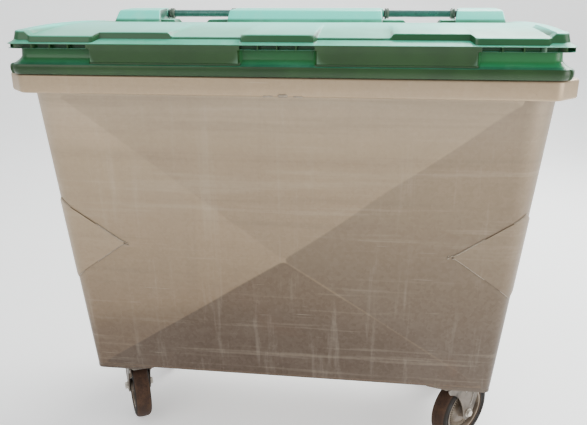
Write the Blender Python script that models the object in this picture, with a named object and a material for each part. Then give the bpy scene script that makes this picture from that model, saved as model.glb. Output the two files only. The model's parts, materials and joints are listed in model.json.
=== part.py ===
"""Four-wheeled sheet-steel waste container with a hinged plastic lid.

Frame: +X to the container's right as seen from the front, +Y to the rear, +Z up.
The origin is on the ground, under the middle of the whole container.
All lengths are in metres.
"""
import math

import bmesh
import bpy
from mathutils import Vector

# ---------------------------------------------------------------- driving dimensions
RIM_WIDTH = 1.260
RIM_DEPTH = 0.660
RIM_TOP = 1.053
RIM_HEIGHT = 0.042
RIM_CHAMFER = 0.048
RIM_SHEET = 0.003
RIM_LIP = 0.014

# The tapered body is given by two level sections: height, half width, inset of the
# front and rear faces from the rim, and corner radius.
UPPER = {"z": 1.011, "half_width": 0.608, "inset": 0.053, "radius": 0.078}
LOWER = {"z": 0.242, "half_width": 0.537, "inset": 0.106, "radius": 0.020}
SHEET = 0.002
CREASE_BOTTOM = 0.247
CREASE_TOP = 1.000
CREASE_MIDDLE = 0.600
FACE_BULGE = 0.014
SIDE_BULGE = 0.010
CORNER_STEPS = 8

GUSSET_HEIGHT = 0.625
GUSSET_HALF_HEIGHT = 0.110
GUSSET_TIP_X = 0.408
GUSSET_SHEET = 0.0025

FLOOR_SHEET = 0.003
PAD_INNER_X = 0.372
PAD_DEPTH = 0.165
PAD_SETBACK = 0.001
PAD_UNDERSIDE = 0.2303

LID_OVERHANG = 0.008
LID_HALF_WIDTH = 0.607
LID_REAR_GAP = 0.006
LID_WALL = 0.004
HINGE_SETBACK = 0.030
HINGE_HEIGHT = 0.104
HINGE_OVERHANG = 0.052
HINGE_ROD_RADIUS = 0.0105
GAP_INNER_X = 0.224
GAP_OUTER_X = 0.421
GAP_FLARE = 0.029
OUTER_EAR_X = 0.4385
BLOCK_OUTER_X = 0.562
EAR_SHEET = 0.005

CASTER_X = 0.449
CASTER_INSET = 0.190
WHEEL_RADIUS = 0.100
TREAD_WIDTH = 0.047
TRAIL = 0.045
HEADINGS = {
    "front_left": math.radians(118),
    "front_right": math.radians(45),
    "rear_left": math.radians(78),
    "rear_right": math.radians(104),
}

DRAIN_Y = 0.150
DRAIN_RADIUS = 0.030

GAP = 0.0003

# ---------------------------------------------------------------- derived places
FRONT_Y = (LID_OVERHANG - RIM_DEPTH - HINGE_OVERHANG) / 2
MIDDLE_Y = FRONT_Y + RIM_DEPTH / 2
HALF_DEPTH = RIM_DEPTH / 2
BODY_TOP = RIM_TOP - RIM_SHEET - GAP
BODY_BOTTOM = LOWER["z"]
FLOOR_UNDERSIDE = BODY_BOTTOM + GAP
FLOOR_TOP = FLOOR_UNDERSIDE + FLOOR_SHEET
HINGE_Y = HALF_DEPTH + HINGE_SETBACK
HINGE_Z = RIM_TOP + HINGE_HEIGHT


# ---------------------------------------------------------------- scene helpers
def clear_scene():
    """Empty the file of objects."""
    for old in list(bpy.data.objects):
        bpy.data.objects.remove(old, do_unlink=True)


def material(name, colour, roughness, metallic):
    """A plain surface finish."""
    finish = bpy.data.materials.new(name)
    finish.use_nodes = True
    shader = finish.node_tree.nodes["Principled BSDF"]
    shader.inputs["Base Color"].default_value = (*colour, 1.0)
    shader.inputs["Roughness"].default_value = roughness
    shader.inputs["Metallic"].default_value = metallic
    return finish


def mesh_from(name, points, faces):
    """A mesh whose faces all point outwards."""
    mesh = bpy.data.meshes.new(name)
    mesh.from_pydata(points, [], faces)
    shape = bmesh.new()
    shape.from_mesh(mesh)
    bmesh.ops.recalc_face_normals(shape, faces=shape.faces)
    shape.to_mesh(mesh)
    shape.free()
    return mesh


def place(name, mesh, finish, location=(0, 0, 0), turn=0.0, parent=None):
    """Add an object for one sub-part."""
    piece = bpy.data.objects.new(name, mesh)
    bpy.context.scene.collection.objects.link(piece)
    piece.location = location
    piece.rotation_euler = (0, 0, turn)
    piece.parent = parent
    if not mesh.materials:
        mesh.materials.append(finish)
    return piece


def empty(name, location, turn=0.0, parent=None):
    """A joint centre that moving pieces hang from."""
    marker = bpy.data.objects.new(name, None)
    bpy.context.scene.collection.objects.link(marker)
    marker.location = location
    marker.rotation_euler = (0, 0, turn)
    marker.parent = parent
    return marker


def smooth(piece, degrees=35):
    """Shade a round piece smooth and keep its corners sharp."""
    piece.data.shade_smooth()
    piece.data.set_sharp_from_angle(angle=math.radians(degrees))


def boolean(piece, cutter, operation):
    """Join a hidden tool shape to a piece, or cut it away."""
    cutter.hide_render = True
    cutter.display_type = "WIRE"
    cut = piece.modifiers.new(cutter.name, "BOOLEAN")
    cut.operation = operation
    cut.solver = "EXACT"
    cut.object = cutter


def loft(rings, closed=False):
    """Points and faces that join equal closed rings, with end caps unless closed."""
    count = len(rings[0])
    points = [point for ring in rings for point in ring]
    faces = []
    spans = len(rings) if closed else len(rings) - 1
    for level in range(spans):
        here = level * count
        there = ((level + 1) % len(rings)) * count
        for step in range(count):
            after = (step + 1) % count
            faces.append((here + step, here + after, there + after, there + step))
    if not closed:
        faces.append(tuple(range(count)))
        faces.append(tuple(range((len(rings) - 1) * count, len(rings) * count)))
    return points, faces


def lathe(profile, steps, axis="Z", turn=0.0):
    """Turn a closed (along, radius) profile about an axis through the origin."""
    rings = []
    for step in range(steps):
        angle = turn + 2 * math.pi * step / steps
        ring = []
        for along, radius in profile:
            across = radius * math.cos(angle)
            lift = radius * math.sin(angle)
            ring.append((across, lift, along) if axis == "Z" else (across, along, lift))
        rings.append(ring)
    return loft(rings, closed=True)


def plate(outline, low, high):
    """Extrude a level outline between two heights."""
    return loft([[(x, y, low) for x, y in outline], [(x, y, high) for x, y in outline]])


def cylinder(name, radius, low, high, axis, centre, steps=24):
    """A tool cylinder along X or Z."""
    rings = []
    for along in (low, high):
        ring = []
        for step in range(steps):
            angle = 2 * math.pi * (step + 0.5) / steps
            across = radius * math.cos(angle)
            lift = radius * math.sin(angle)
            local = (across, lift, along) if axis == "Z" else (along, across, lift)
            ring.append(tuple(Vector(local) + Vector(centre)))
        rings.append(ring)
    return place(name, mesh_from(name, *loft(rings)), None)


# ---------------------------------------------------------------- tapered body
def section(z):
    """Half width, half depth and corner radius of the body at a height."""
    share = (z - LOWER["z"]) / (UPPER["z"] - LOWER["z"])
    half_width = LOWER["half_width"] + share * (UPPER["half_width"] - LOWER["half_width"])
    inset = LOWER["inset"] + share * (UPPER["inset"] - LOWER["inset"])
    radius = LOWER["radius"] + share * (UPPER["radius"] - LOWER["radius"])
    return half_width, HALF_DEPTH - inset, radius


def corner_point(z, angle, offset=0.0):
    """Point on the front right corner, from the front face (0) round to the side."""
    half_width, half_depth, radius = section(z)
    reach = radius + offset
    x = half_width - radius + reach * math.sin(angle)
    y = radius - half_depth - reach * math.cos(angle)
    return Vector((x, y, z))


def corner_angles():
    """Angles round a body corner, front to side."""
    return [math.pi / 2 * step / CORNER_STEPS for step in range(CORNER_STEPS + 1)]


def creased_panel(name, columns, apex):
    """A sheet panel with an X-shaped crease between its two middle columns."""
    levels = (BODY_BOTTOM, CREASE_BOTTOM, CREASE_TOP, BODY_TOP)
    points = [tuple(column(z)) for z in levels for column in columns]
    points.append(apex)
    count = len(columns)
    left = count // 2 - 1
    faces = []
    for level in range(len(levels) - 1):
        for step in range(count - 1):
            low = level * count + step
            high = low + count
            if level == 1 and step == left:
                corners = (low, low + 1, high + 1, high)
                for side in range(4):
                    faces.append((corners[side], corners[(side + 1) % 4], len(points) - 1))
            else:
                faces.append((low, low + 1, high + 1, high))
    mesh = bpy.data.meshes.new(name)
    mesh.from_pydata(points, [], faces)
    return mesh


def thicken(piece, thickness, offset):
    """Give a surface its sheet thickness."""
    sheet = piece.modifiers.new("Sheet", "SOLIDIFY")
    sheet.thickness = thickness
    sheet.offset = offset
    sheet.use_even_offset = True


def face_apex():
    """Top of the X crease on the front face."""
    return (0.0, -section(CREASE_MIDDLE)[1] - FACE_BULGE, CREASE_MIDDLE)


def side_apex():
    """Top of the X crease on the right side."""
    return (section(CREASE_MIDDLE)[0] + SIDE_BULGE, 0.0, CREASE_MIDDLE)


def make_body_panels(steel):
    """Front, rear and side panels of the body."""
    angles = corner_angles()

    def left_column(angle):
        return lambda z: Vector((-1, 1, 1)) * corner_point(z, angle)

    def right_column(angle):
        return lambda z: corner_point(z, angle)

    columns = [left_column(angle) for angle in reversed(angles)]
    columns += [right_column(angle) for angle in angles]
    face_mesh = creased_panel("face_panel", columns, face_apex())

    def side_column(sign):
        def column(z):
            edge = corner_point(z, math.pi / 2)
            return Vector((edge.x, sign * (edge.y + 2 * GAP), z))
        return column

    side_mesh = creased_panel("side_panel", [side_column(1), side_column(-1)], side_apex())
    for name, mesh, turn in (
        ("front_panel", face_mesh, 0.0),
        ("rear_panel", face_mesh, math.pi),
        ("side_panel_right", side_mesh, 0.0),
        ("side_panel_left", side_mesh, math.pi),
    ):
        panel = place(name, mesh, steel, (0, MIDDLE_Y, 0), turn)
        thicken(panel, SHEET, -1)
        smooth(panel, 12)


def level_through(first, second, third, axis, place_on):
    """Coordinate along an axis of the point of a plane at the other two coordinates."""
    normal = (second - first).cross(third - first)
    rest = sum(normal[i] * (place_on[i] - first[i]) for i in range(3) if i != axis)
    return first[axis] - rest / normal[axis]


def gusset_stations():
    """Points round the corner with the plate's half height at each, front to side."""
    half_width, half_depth, radius = section(GUSSET_HEIGHT)
    flap = half_width - radius - GUSSET_TIP_X
    reach = flap + radius * math.pi / 4
    tip_height = 0.002

    def front_tip(z):
        first = Vector(face_apex())
        second = corner_point(CREASE_BOTTOM, 0)
        third = corner_point(CREASE_TOP, 0)
        y = level_through(first, second, third, 1, (GUSSET_TIP_X, 0, z))
        return Vector((GUSSET_TIP_X, y - GAP, z))

    def side_tip(z):
        first = Vector(side_apex())
        second = corner_point(CREASE_BOTTOM, math.pi / 2)
        third = corner_point(CREASE_TOP, math.pi / 2)
        y = radius - half_depth + flap
        x = level_through(first, second, third, 0, (0, y, z))
        return Vector((x + GAP, y, z))

    def on_corner(angle):
        return lambda z: corner_point(z, angle, GAP)

    stations = [(front_tip, tip_height)]
    for angle in corner_angles():
        travel = flap + radius * min(angle, math.pi / 2 - angle)
        stations.append((on_corner(angle), GUSSET_HALF_HEIGHT * travel / reach))
    stations.append((side_tip, tip_height))
    return stations


def make_gussets(steel):
    """Diamond plates folded round the four vertical corners."""
    for name, side_x, side_y in (
        ("corner_gusset_front_right", 1, 1),
        ("corner_gusset_front_left", -1, 1),
        ("corner_gusset_rear_right", 1, -1),
        ("corner_gusset_rear_left", -1, -1),
    ):
        flip = Vector((side_x, side_y, 1))
        points = []
        for station, half_height in gusset_stations():
            for sign in (-1, 1):
                points.append(tuple(flip * station(GUSSET_HEIGHT + sign * half_height)))
        faces = []
        for step in range(len(points) // 2 - 1):
            low = 2 * step
            quad = (low, low + 2, low + 3, low + 1)
            faces.append(quad if side_x * side_y > 0 else quad[::-1])
        mesh = bpy.data.meshes.new(name)
        mesh.from_pydata(points, [], faces)
        gusset = place(name, mesh, steel, (0, MIDDLE_Y, 0))
        thicken(gusset, GUSSET_SHEET, 1)
        smooth(gusset, 12)


def floor_outline(z, inset):
    """Level outline of the body's inside, counter-clockwise from the front left."""
    quarter = [corner_point(z, angle, -inset).xy for angle in corner_angles()[::2]]
    outline = [(point.x, point.y) for point in quarter]
    outline += [(point.x, -point.y) for point in reversed(quarter)]
    outline += [(-point.x, -point.y) for point in quarter]
    outline += [(-point.x, point.y) for point in reversed(quarter)]
    return outline


def make_floor(steel, rubber):
    """Floor pan, drain collar and the bung that drops into it."""
    outline = floor_outline(FLOOR_UNDERSIDE, SHEET + 4 * GAP)
    pan_mesh = mesh_from("floor_pan", *plate(outline, FLOOR_UNDERSIDE, FLOOR_TOP))
    pan = place("floor_pan", pan_mesh, steel, (0, MIDDLE_Y, 0))
    hole_low = FLOOR_UNDERSIDE - 0.01
    hole_high = FLOOR_TOP + 0.01
    hole = cylinder("floor_hole", DRAIN_RADIUS + GAP, hole_low, hole_high, "Z", (0, DRAIN_Y, 0))
    hole.location.y = MIDDLE_Y
    boolean(pan, hole, "DIFFERENCE")

    centre = (0, MIDDLE_Y + DRAIN_Y, 0)
    collar_top = FLOOR_UNDERSIDE - GAP
    collar_low = collar_top - 0.012
    collar_profile = [
        (collar_low, DRAIN_RADIUS + GAP),
        (collar_low, DRAIN_RADIUS + 0.005),
        (collar_top - 0.003, DRAIN_RADIUS + 0.005),
        (collar_top - 0.003, DRAIN_RADIUS + 0.014),
        (collar_top, DRAIN_RADIUS + 0.014),
        (collar_top, DRAIN_RADIUS + GAP),
    ]
    collar = place("drain_collar", mesh_from("drain_collar", *lathe(collar_profile, 20)), steel, centre)
    smooth(collar)

    flange_low = FLOOR_TOP + GAP
    bung_profile = [
        (collar_low + 0.002, DRAIN_RADIUS - 0.0065),
        (collar_low + 0.002, DRAIN_RADIUS - 0.0025),
        (flange_low, DRAIN_RADIUS - 0.0010),
        (flange_low, DRAIN_RADIUS + 0.009),
        (flange_low + 0.003, DRAIN_RADIUS + 0.009),
        (flange_low + 0.006, DRAIN_RADIUS + 0.002),
        (flange_low + 0.006, 0.0),
        (flange_low + 0.001, 0.0),
        (flange_low + 0.001, DRAIN_RADIUS - 0.0065),
    ]
    outer = [point for point in bung_profile if point[1] > 0]
    rings = [[(r * math.cos(2 * math.pi * k / 20), r * math.sin(2 * math.pi * k / 20), z)
              for k in range(20)] for z, r in outer]
    bung = place("drain_bung", mesh_from("drain_bung", *loft(rings)), rubber, centre)
    smooth(bung)


# ---------------------------------------------------------------- rim
def rim_stations():
    """Outer and inner points along the front rail, left to right, about the middle."""
    half_width = RIM_WIDTH / 2
    inner = [corner_point(BODY_TOP, math.radians(a), -SHEET - 0.0015) for a in (0, 30, 60, 90)]
    outer = [
        (inner[0].x, -HALF_DEPTH),
        (half_width - RIM_CHAMFER, -HALF_DEPTH),
        (half_width, RIM_CHAMFER - HALF_DEPTH),
        (half_width, inner[3].y),
    ]
    right = [(Vector(out), Vector((point.x, point.y))) for out, point in zip(outer, inner)]
    mirror = Vector((-1, 1))
    left = [(mirror * out, mirror * point) for out, point in reversed(right)]
    return left + right


def rim_profile(outer, inner):
    """Closed channel section between an outer and an inner point."""
    across = inner - outer
    reach = across.length
    way = across.normalized()
    sheet = RIM_SHEET
    bottom = -RIM_HEIGHT
    shape = [
        (0.0, bottom + 0.003),
        (0.0, -0.006),
        (0.0018, -0.0018),
        (0.006, 0.0),
        (reach, 0.0),
        (reach, -sheet),
        (0.006, -sheet),
        (sheet, -0.006),
        (sheet, bottom + sheet),
        (RIM_LIP, bottom + sheet),
        (RIM_LIP, bottom),
        (0.003, bottom),
    ]
    return [(*(outer + way * along), RIM_TOP + lift) for along, lift in shape]


def make_rim(steel):
    """Four rails of the rim: folded channels that hang outside the body."""
    stations = rim_stations()
    rail = mesh_from("rim_rail", *loft([rim_profile(*pair) for pair in stations]))
    end_outer, end_inner = stations[-1]
    run = Vector((0, GAP))
    first = (end_outer + run, end_inner + run)
    last = (Vector((end_outer.x, -first[0].y)), Vector((end_inner.x, -first[1].y)))
    side = mesh_from("rim_side", *loft([rim_profile(*first), rim_profile(*last)]))
    for name, mesh, turn in (
        ("rim_front", rail, 0.0),
        ("rim_rear", rail, math.pi),
        ("rim_right", side, 0.0),
        ("rim_left", side, math.pi),
    ):
        place(name, mesh, steel, (0, MIDDLE_Y, 0), turn)


# ---------------------------------------------------------------- lid hinge
def make_hinges(steel):
    """Rear brackets, rods and the collars that keep the rods in place."""
    face = HALF_DEPTH + GAP
    ear = [(face, RIM_TOP - 0.040), (face, HINGE_Z - 0.034), (HINGE_Y - 0.015, HINGE_Z - 0.006)]
    for step in range(9):
        angle = math.radians(200 - 30 * step)
        ear.append((HINGE_Y + 0.016 * math.cos(angle), HINGE_Z + 0.016 * math.sin(angle)))
    ear += [(face + 0.009, HINGE_Z - 0.040), (face + 0.009, RIM_TOP - 0.040)]
    strap = [
        (face, RIM_TOP - 0.0402),
        (face + 0.004, RIM_TOP - 0.0402),
        (face + 0.004, RIM_TOP + 0.018),
        (face, RIM_TOP + 0.018),
    ]

    def bar(name, outline, low, high):
        rings = [[(x, y, z) for y, z in outline] for x in (low, high)]
        return place(name, mesh_from(name, *loft(rings)), steel, (0, MIDDLE_Y, 0))

    inner_ear = GAP_INNER_X + 0.006
    for side, sign in (("left", -1), ("right", 1)):
        low, high = sorted((sign * inner_ear, sign * OUTER_EAR_X))
        bracket = bar("hinge_bracket_" + side, strap, low + 0.0002, high - 0.0002)
        for end, start in (("a", low), ("b", high - EAR_SHEET)):
            boolean(bracket, bar("ear_" + side + end, ear, start, start + EAR_SHEET), "UNION")
        hole = cylinder("rod_hole_" + side, HINGE_ROD_RADIUS + 2 * GAP, low - 0.01, high + 0.01,
                        "X", (0, HINGE_Y, HINGE_Z), 20)
        hole.location.y = MIDDLE_Y
        boolean(bracket, hole, "DIFFERENCE")

        rod_low = low - 0.034
        rod_high = high + 0.034
        rod_name = "hinge_rod_" + side
        rings = []
        for along, radius in (
            (rod_low, HINGE_ROD_RADIUS - 0.0015),
            (rod_low + 0.0015, HINGE_ROD_RADIUS),
            (rod_high - 0.0015, HINGE_ROD_RADIUS),
            (rod_high, HINGE_ROD_RADIUS - 0.0015),
        ):
            rings.append([(along, radius * math.cos(math.pi * k / 10),
                           radius * math.sin(math.pi * k / 10)) for k in range(20)])
        rod = place(rod_name, mesh_from(rod_name, *loft(rings)), steel,
                    (0, MIDDLE_Y + HINGE_Y, HINGE_Z))
        smooth(rod)

        for end, start in (("inner", low + EAR_SHEET + GAP), ("outer", high - EAR_SHEET - GAP - 0.008)):
            profile = [
                (start, HINGE_ROD_RADIUS + GAP),
                (start, HINGE_ROD_RADIUS + 0.0040),
                (start + 0.008, HINGE_ROD_RADIUS + 0.0040),
                (start + 0.008, HINGE_ROD_RADIUS + GAP),
            ]
            label = end if sign > 0 else {"inner": "outer", "outer": "inner"}[end]
            name = "hinge_collar_" + side + "_" + label
            rings = []
            for step in range(20):
                angle = math.pi * step / 10
                rings.append([(along, radius * math.cos(angle), radius * math.sin(angle))
                              for along, radius in profile])
            collar = place(name, mesh_from(name, *loft(rings, closed=True)), steel,
                           (0, MIDDLE_Y + HINGE_Y, HINGE_Z))
            smooth(collar)


# ---------------------------------------------------------------- lid
LID_FRONT = -HALF_DEPTH - LID_OVERHANG
LID_REAR = HALF_DEPTH - LID_REAR_GAP
BLOCK_FRONT = 0.190
WEB_SHEET = LID_WALL
LID_X = (0.0, 0.078, 0.086, 0.232, 0.240, 0.400, 0.410, 0.525, 0.565, LID_HALF_WIDTH)
LID_Y = (LID_FRONT, LID_FRONT + 0.045, LID_FRONT + 0.080, -0.170, -0.080, 0.010, 0.100,
         0.190, LID_REAR - 0.080, LID_REAR - 0.045, LID_REAR)


def zone(x):
    """Which stretch of the lid's front a point is in."""
    x = abs(x)
    if x > 0.405:
        return "end"
    if x > 0.236:
        return "pad"
    if x > 0.082:
        return "low"
    return "middle"


FRONT_HEIGHT = {"end": 0.0847, "pad": 0.0895, "low": 0.080, "middle": 0.089}
FRONT_INSET = {"end": 0.010, "pad": 0.036, "low": 0.034, "middle": 0.010}


def blend(low, high, value):
    """Smooth step from 0 at low to 1 at high."""
    share = min(max((value - low) / (high - low), 0.0), 1.0)
    return share * share * (3 - 2 * share)


def lid_height(x, y):
    """Height of the lid's top above the rim."""
    crown_y = LID_FRONT + 0.270
    dome = 0.0955 - 0.165 * (min(y, BLOCK_FRONT) - crown_y) ** 2 - 0.041 * max(y - BLOCK_FRONT, 0.0)
    front = (FRONT_HEIGHT[zone(x)] - 0.0835) * (1 - blend(-0.30, -0.13, y))
    ridge = 0.004 * blend(0.530, 0.560, abs(x))
    return dome + front + ridge


def perimeter():
    """Grid places round the lid's edge, counter-clockwise from the front left."""
    columns = [-x for x in reversed(LID_X[1:])] + list(LID_X)
    front = [(x, LID_Y[0]) for x in columns[:-1]]
    right = [(columns[-1], y) for y in LID_Y[:-1]]
    rear = [(x, LID_Y[-1]) for x in reversed(columns[1:])]
    left = [(columns[0], y) for y in reversed(LID_Y[1:])]
    return front + right + rear + left


def edge_place(x, y, inset, radius):
    """Move a place on the edge inwards, rounding the corners."""
    wide = LID_HALF_WIDTH - inset
    front = LID_FRONT + inset
    rear = LID_REAR - inset
    sign = -1 if x < 0 else 1
    column = LID_X.index(abs(x)) - (len(LID_X) - 3)
    rows = {LID_Y[0]: 2, LID_Y[1]: 1, LID_Y[2]: 0, LID_Y[-3]: 0, LID_Y[-2]: 1, LID_Y[-1]: 2}
    row = rows.get(y, -1)
    if column < 0 or row < 0:
        level = front if y == LID_Y[0] else rear if y == LID_Y[-1] else y
        return (sign * wide if abs(x) == LID_X[-1] else x), level
    turn = math.radians(22.5 * (column if row == 2 else 4 - row))
    near_front = y < 0
    centre_y = front + radius if near_front else rear - radius
    out_y = -radius * math.cos(turn) if near_front else radius * math.cos(turn)
    return sign * (wide - radius + radius * math.sin(turn)), centre_y + out_y


def lid_ring(height, insets, radius):
    """One closed ring round the lid; insets maps each front zone, and the rest, to an inset."""
    ring = []
    for x, y in perimeter():
        kind = zone(x) if y == LID_Y[0] and abs(x) <= LID_X[-3] else "rest"
        inset = insets[kind] if kind in insets else insets["rest"]
        px, py = edge_place(x, y, inset, radius)
        lift = height(x, y, kind) if callable(height) else height
        ring.append((px, py, RIM_TOP + lift))
    return ring


def lid_solid(rings, drop, name):
    """Close stacked rings with a flat bottom and the domed top."""
    columns = [-x for x in reversed(LID_X[1:])] + list(LID_X)
    count = len(rings[0])
    points = [point for ring in rings for point in ring]
    faces = []
    for level in range(len(rings) - 1):
        for step in range(count):
            after = (step + 1) % count
            here = level * count
            faces.append((here + step, here + after, here + count + after, here + count + step))
    faces.append(tuple(range(count)))
    top = (len(rings) - 1) * count
    grid = {}
    for step, (x, y) in enumerate(perimeter()):
        grid[(columns.index(x), LID_Y.index(y))] = top + step
    for i in range(1, len(columns) - 1):
        for j in range(1, len(LID_Y) - 1):
            x = columns[i]
            y = LID_Y[j]
            grid[(i, j)] = len(points)
            points.append((x, y, RIM_TOP + lid_height(x, y) - drop))
    for i in range(len(columns) - 1):
        for j in range(len(LID_Y) - 1):
            faces.append((grid[(i, j)], grid[(i + 1, j)], grid[(i + 1, j + 1)], grid[(i, j + 1)]))
    return mesh_from(name, points, faces)


def flush(ends, pads):
    """Insets of a ring that steps between the end windows and the flush stretches."""
    return {"end": ends, "middle": ends, "rest": ends, "pad": pads, "low": pads}


def lid_shell():
    """Outer solid and inner hollow of the lid, without the hinge blocks."""
    def ledge(x, y, kind):
        return {"end": 0.0690, "middle": 0.0690, "pad": 0.0750, "low": 0.0750}.get(kind, 0.0755)

    def riser(x, y, kind):
        if kind == "rest":
            return lid_height(x, y) - 0.002
        return FRONT_HEIGHT[kind]

    ledge_inset = {"end": 0.007, "middle": 0.007, "pad": 0.032, "low": 0.032, "rest": 0.021}
    riser_inset = dict(FRONT_INSET, rest=0.025)
    outer = [
        lid_ring(0.0005, {"rest": 0.003}, 0.030),
        lid_ring(0.0050, {"rest": 0.001}, 0.032),
        lid_ring(0.0140, {"rest": 0.000}, 0.034),
        lid_ring(0.0230, {"rest": 0.002}, 0.032),
        lid_ring(0.0290, flush(0.009, 0.004), 0.032),
        lid_ring(0.0360, flush(0.020, 0.003), 0.036),
        lid_ring(0.0560, flush(0.021, 0.002), 0.036),
        lid_ring(0.0565, flush(0.002, 0.001), 0.028),
        lid_ring(0.0660, {"rest": 0.0}, 0.030),
        lid_ring(0.0680, {"rest": 0.0015}, 0.029),
        lid_ring(ledge, ledge_inset, 0.022),
        lid_ring(riser, riser_inset, 0.018),
    ]

    def under(x, y, kind):
        return riser(x, y, kind) - LID_WALL

    inner = [
        lid_ring(-0.0100, {"rest": 0.0075}, 0.028),
        lid_ring(0.0240, {"rest": 0.0075}, 0.028),
        lid_ring(0.0310, {"rest": 0.0280}, 0.020),
        lid_ring(0.0610, {"rest": 0.0280}, 0.020),
        lid_ring(under, {"rest": 0.0410}, 0.012),
    ]
    return lid_solid(outer, 0.0, "lid"), lid_solid(inner, LID_WALL, "lid_hollow")


def block_prism(name, outline, low, high, drafts, flares):
    """Hinge block between two X faces that lean in towards its top and its rear."""
    foot = RIM_TOP + 0.080
    tall = 0.040
    deep = HALF_DEPTH + HINGE_OVERHANG - BLOCK_FRONT

    def lean(y, z, side):
        upward = drafts[side] * max(z - foot, 0.0) / tall
        return upward + flares[side] * max(y - BLOCK_FRONT, 0.0) / deep

    left = [(low + lean(y, z, 0), y, z) for y, z in outline]
    right = [(high - lean(y, z, 1), y, z) for y, z in outline]
    return place(name, mesh_from(name, *loft([left, right])), None, (0, MIDDLE_Y, 0))


def make_lid(plastic):
    """Moulded lid: one shell with three hollow hinge blocks along its rear."""
    shell, hollow = lid_shell()
    lid = place("lid", shell, plastic, (0, MIDDLE_Y, 0))
    rear_wall = LID_REAR
    block_rear = HALF_DEPTH + HINGE_OVERHANG
    front_foot = BLOCK_FRONT
    outer_shape = [
        (front_foot + 0.012, 0.050),
        (front_foot, 0.078),
        (front_foot + 0.005, 0.086),
        (front_foot + 0.027, 0.117),
        (front_foot + 0.036, 0.1205),
        (block_rear - 0.012, 0.1225),
        (block_rear - 0.003, 0.1185),
        (block_rear, 0.110),
        (block_rear, 0.084),
        (rear_wall - 0.003, 0.084),
        (rear_wall - 0.003, 0.050),
    ]
    web = rear_wall - 0.030
    front_core = [
        (front_foot + 0.018, 0.045),
        (front_foot + 0.010, 0.084),
        (front_foot + 0.033, 0.1155),
        (web - WEB_SHEET, 0.1170),
        (web - WEB_SHEET, 0.045),
    ]
    rear_core = [
        (web, 0.090),
        (web, 0.1170),
        (block_rear - 0.014, 0.1180),
        (block_rear - 0.006, 0.1140),
        (block_rear - 0.0045, 0.108),
        (block_rear - 0.0045, 0.078),
        (rear_wall + 0.006, 0.078),
        (rear_wall + 0.006, 0.090),
    ]
    outer_shape = [(y, RIM_TOP + z) for y, z in outer_shape]
    cores = [[(y, RIM_TOP + z) for y, z in shape] for shape in (front_core, rear_core)]
    spans = (
        ("left", -BLOCK_OUTER_X, -GAP_OUTER_X, (0.010, 0.003), (0.0, GAP_FLARE)),
        ("middle", -GAP_INNER_X, GAP_INNER_X, (0.004, 0.004), (0.0, 0.0)),
        ("right", GAP_OUTER_X, BLOCK_OUTER_X, (0.003, 0.010), (GAP_FLARE, 0.0)),
    )
    for label, low, high, drafts, flares in spans:
        block = block_prism("block_" + label, outer_shape, low, high, drafts, flares)
        boolean(lid, block, "UNION")
    hollow_tool = place("lid_hollow", hollow, None, (0, MIDDLE_Y, 0))
    boolean(lid, hollow_tool, "DIFFERENCE")
    for label, low, high, drafts, flares in spans:
        for shape in cores:
            core = block_prism("core_" + label, shape, low + LID_WALL, high - LID_WALL, drafts, flares)
            boolean(lid, core, "DIFFERENCE")
    for label, sign in (("left", -1), ("right", 1)):
        bore_outer_x = GAP_OUTER_X + GAP_FLARE + 0.012
        low, high = sorted((sign * (GAP_INNER_X - 0.012), sign * bore_outer_x))
        bore = cylinder("lid_bore_" + label, HINGE_ROD_RADIUS + 3 * GAP, low, high, "X",
                        (0, HINGE_Y, HINGE_Z), 20)
        bore.location.y = MIDDLE_Y
        boolean(lid, bore, "DIFFERENCE")


# ---------------------------------------------------------------- casters
PLATE_TOP = PAD_UNDERSIDE - GAP
PLATE_LOW = PLATE_TOP - 0.005
RACE_TOP = PLATE_LOW - GAP
CROWN_TOP = RACE_TOP - 0.013
CROWN_SHEET = 0.005
FORK_HALF_GAP = 0.0285
LEG_SHEET = 0.004
CROWN_FRONT = -0.052
CROWN_REAR = 0.070
AXLE_RADIUS = 0.006
HUB_HALF_LENGTH = 0.0275
TYRE_BORE = 0.070
PEDAL_PIVOT = (-0.040, 0.190)


def make_pads(steel):
    """Stiffening plates under the body's corners, which carry the casters."""
    front = section(BODY_BOTTOM)[1] - PAD_SETBACK
    side = section(BODY_BOTTOM)[0] - PAD_SETBACK
    curve = 0.016
    outline = [(PAD_INNER_X, PAD_DEPTH - front), (PAD_INNER_X, -front)]
    for step in range(4):
        angle = math.radians(30 * step)
        outline.append((side - curve + curve * math.sin(angle), curve - front - curve * math.cos(angle)))
    outline.append((side, PAD_DEPTH - front))
    for name, flip_x, flip_y in (
        ("caster_pad_front_right", 1, 1),
        ("caster_pad_front_left", -1, 1),
        ("caster_pad_rear_right", 1, -1),
        ("caster_pad_rear_left", -1, -1),
    ):
        turned = [(flip_x * x, flip_y * y) for x, y in outline]
        mesh = mesh_from(name, *plate(turned, PAD_UNDERSIDE, BODY_BOTTOM - GAP))
        place(name, mesh, steel, (0, MIDDLE_Y, 0))


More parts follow.
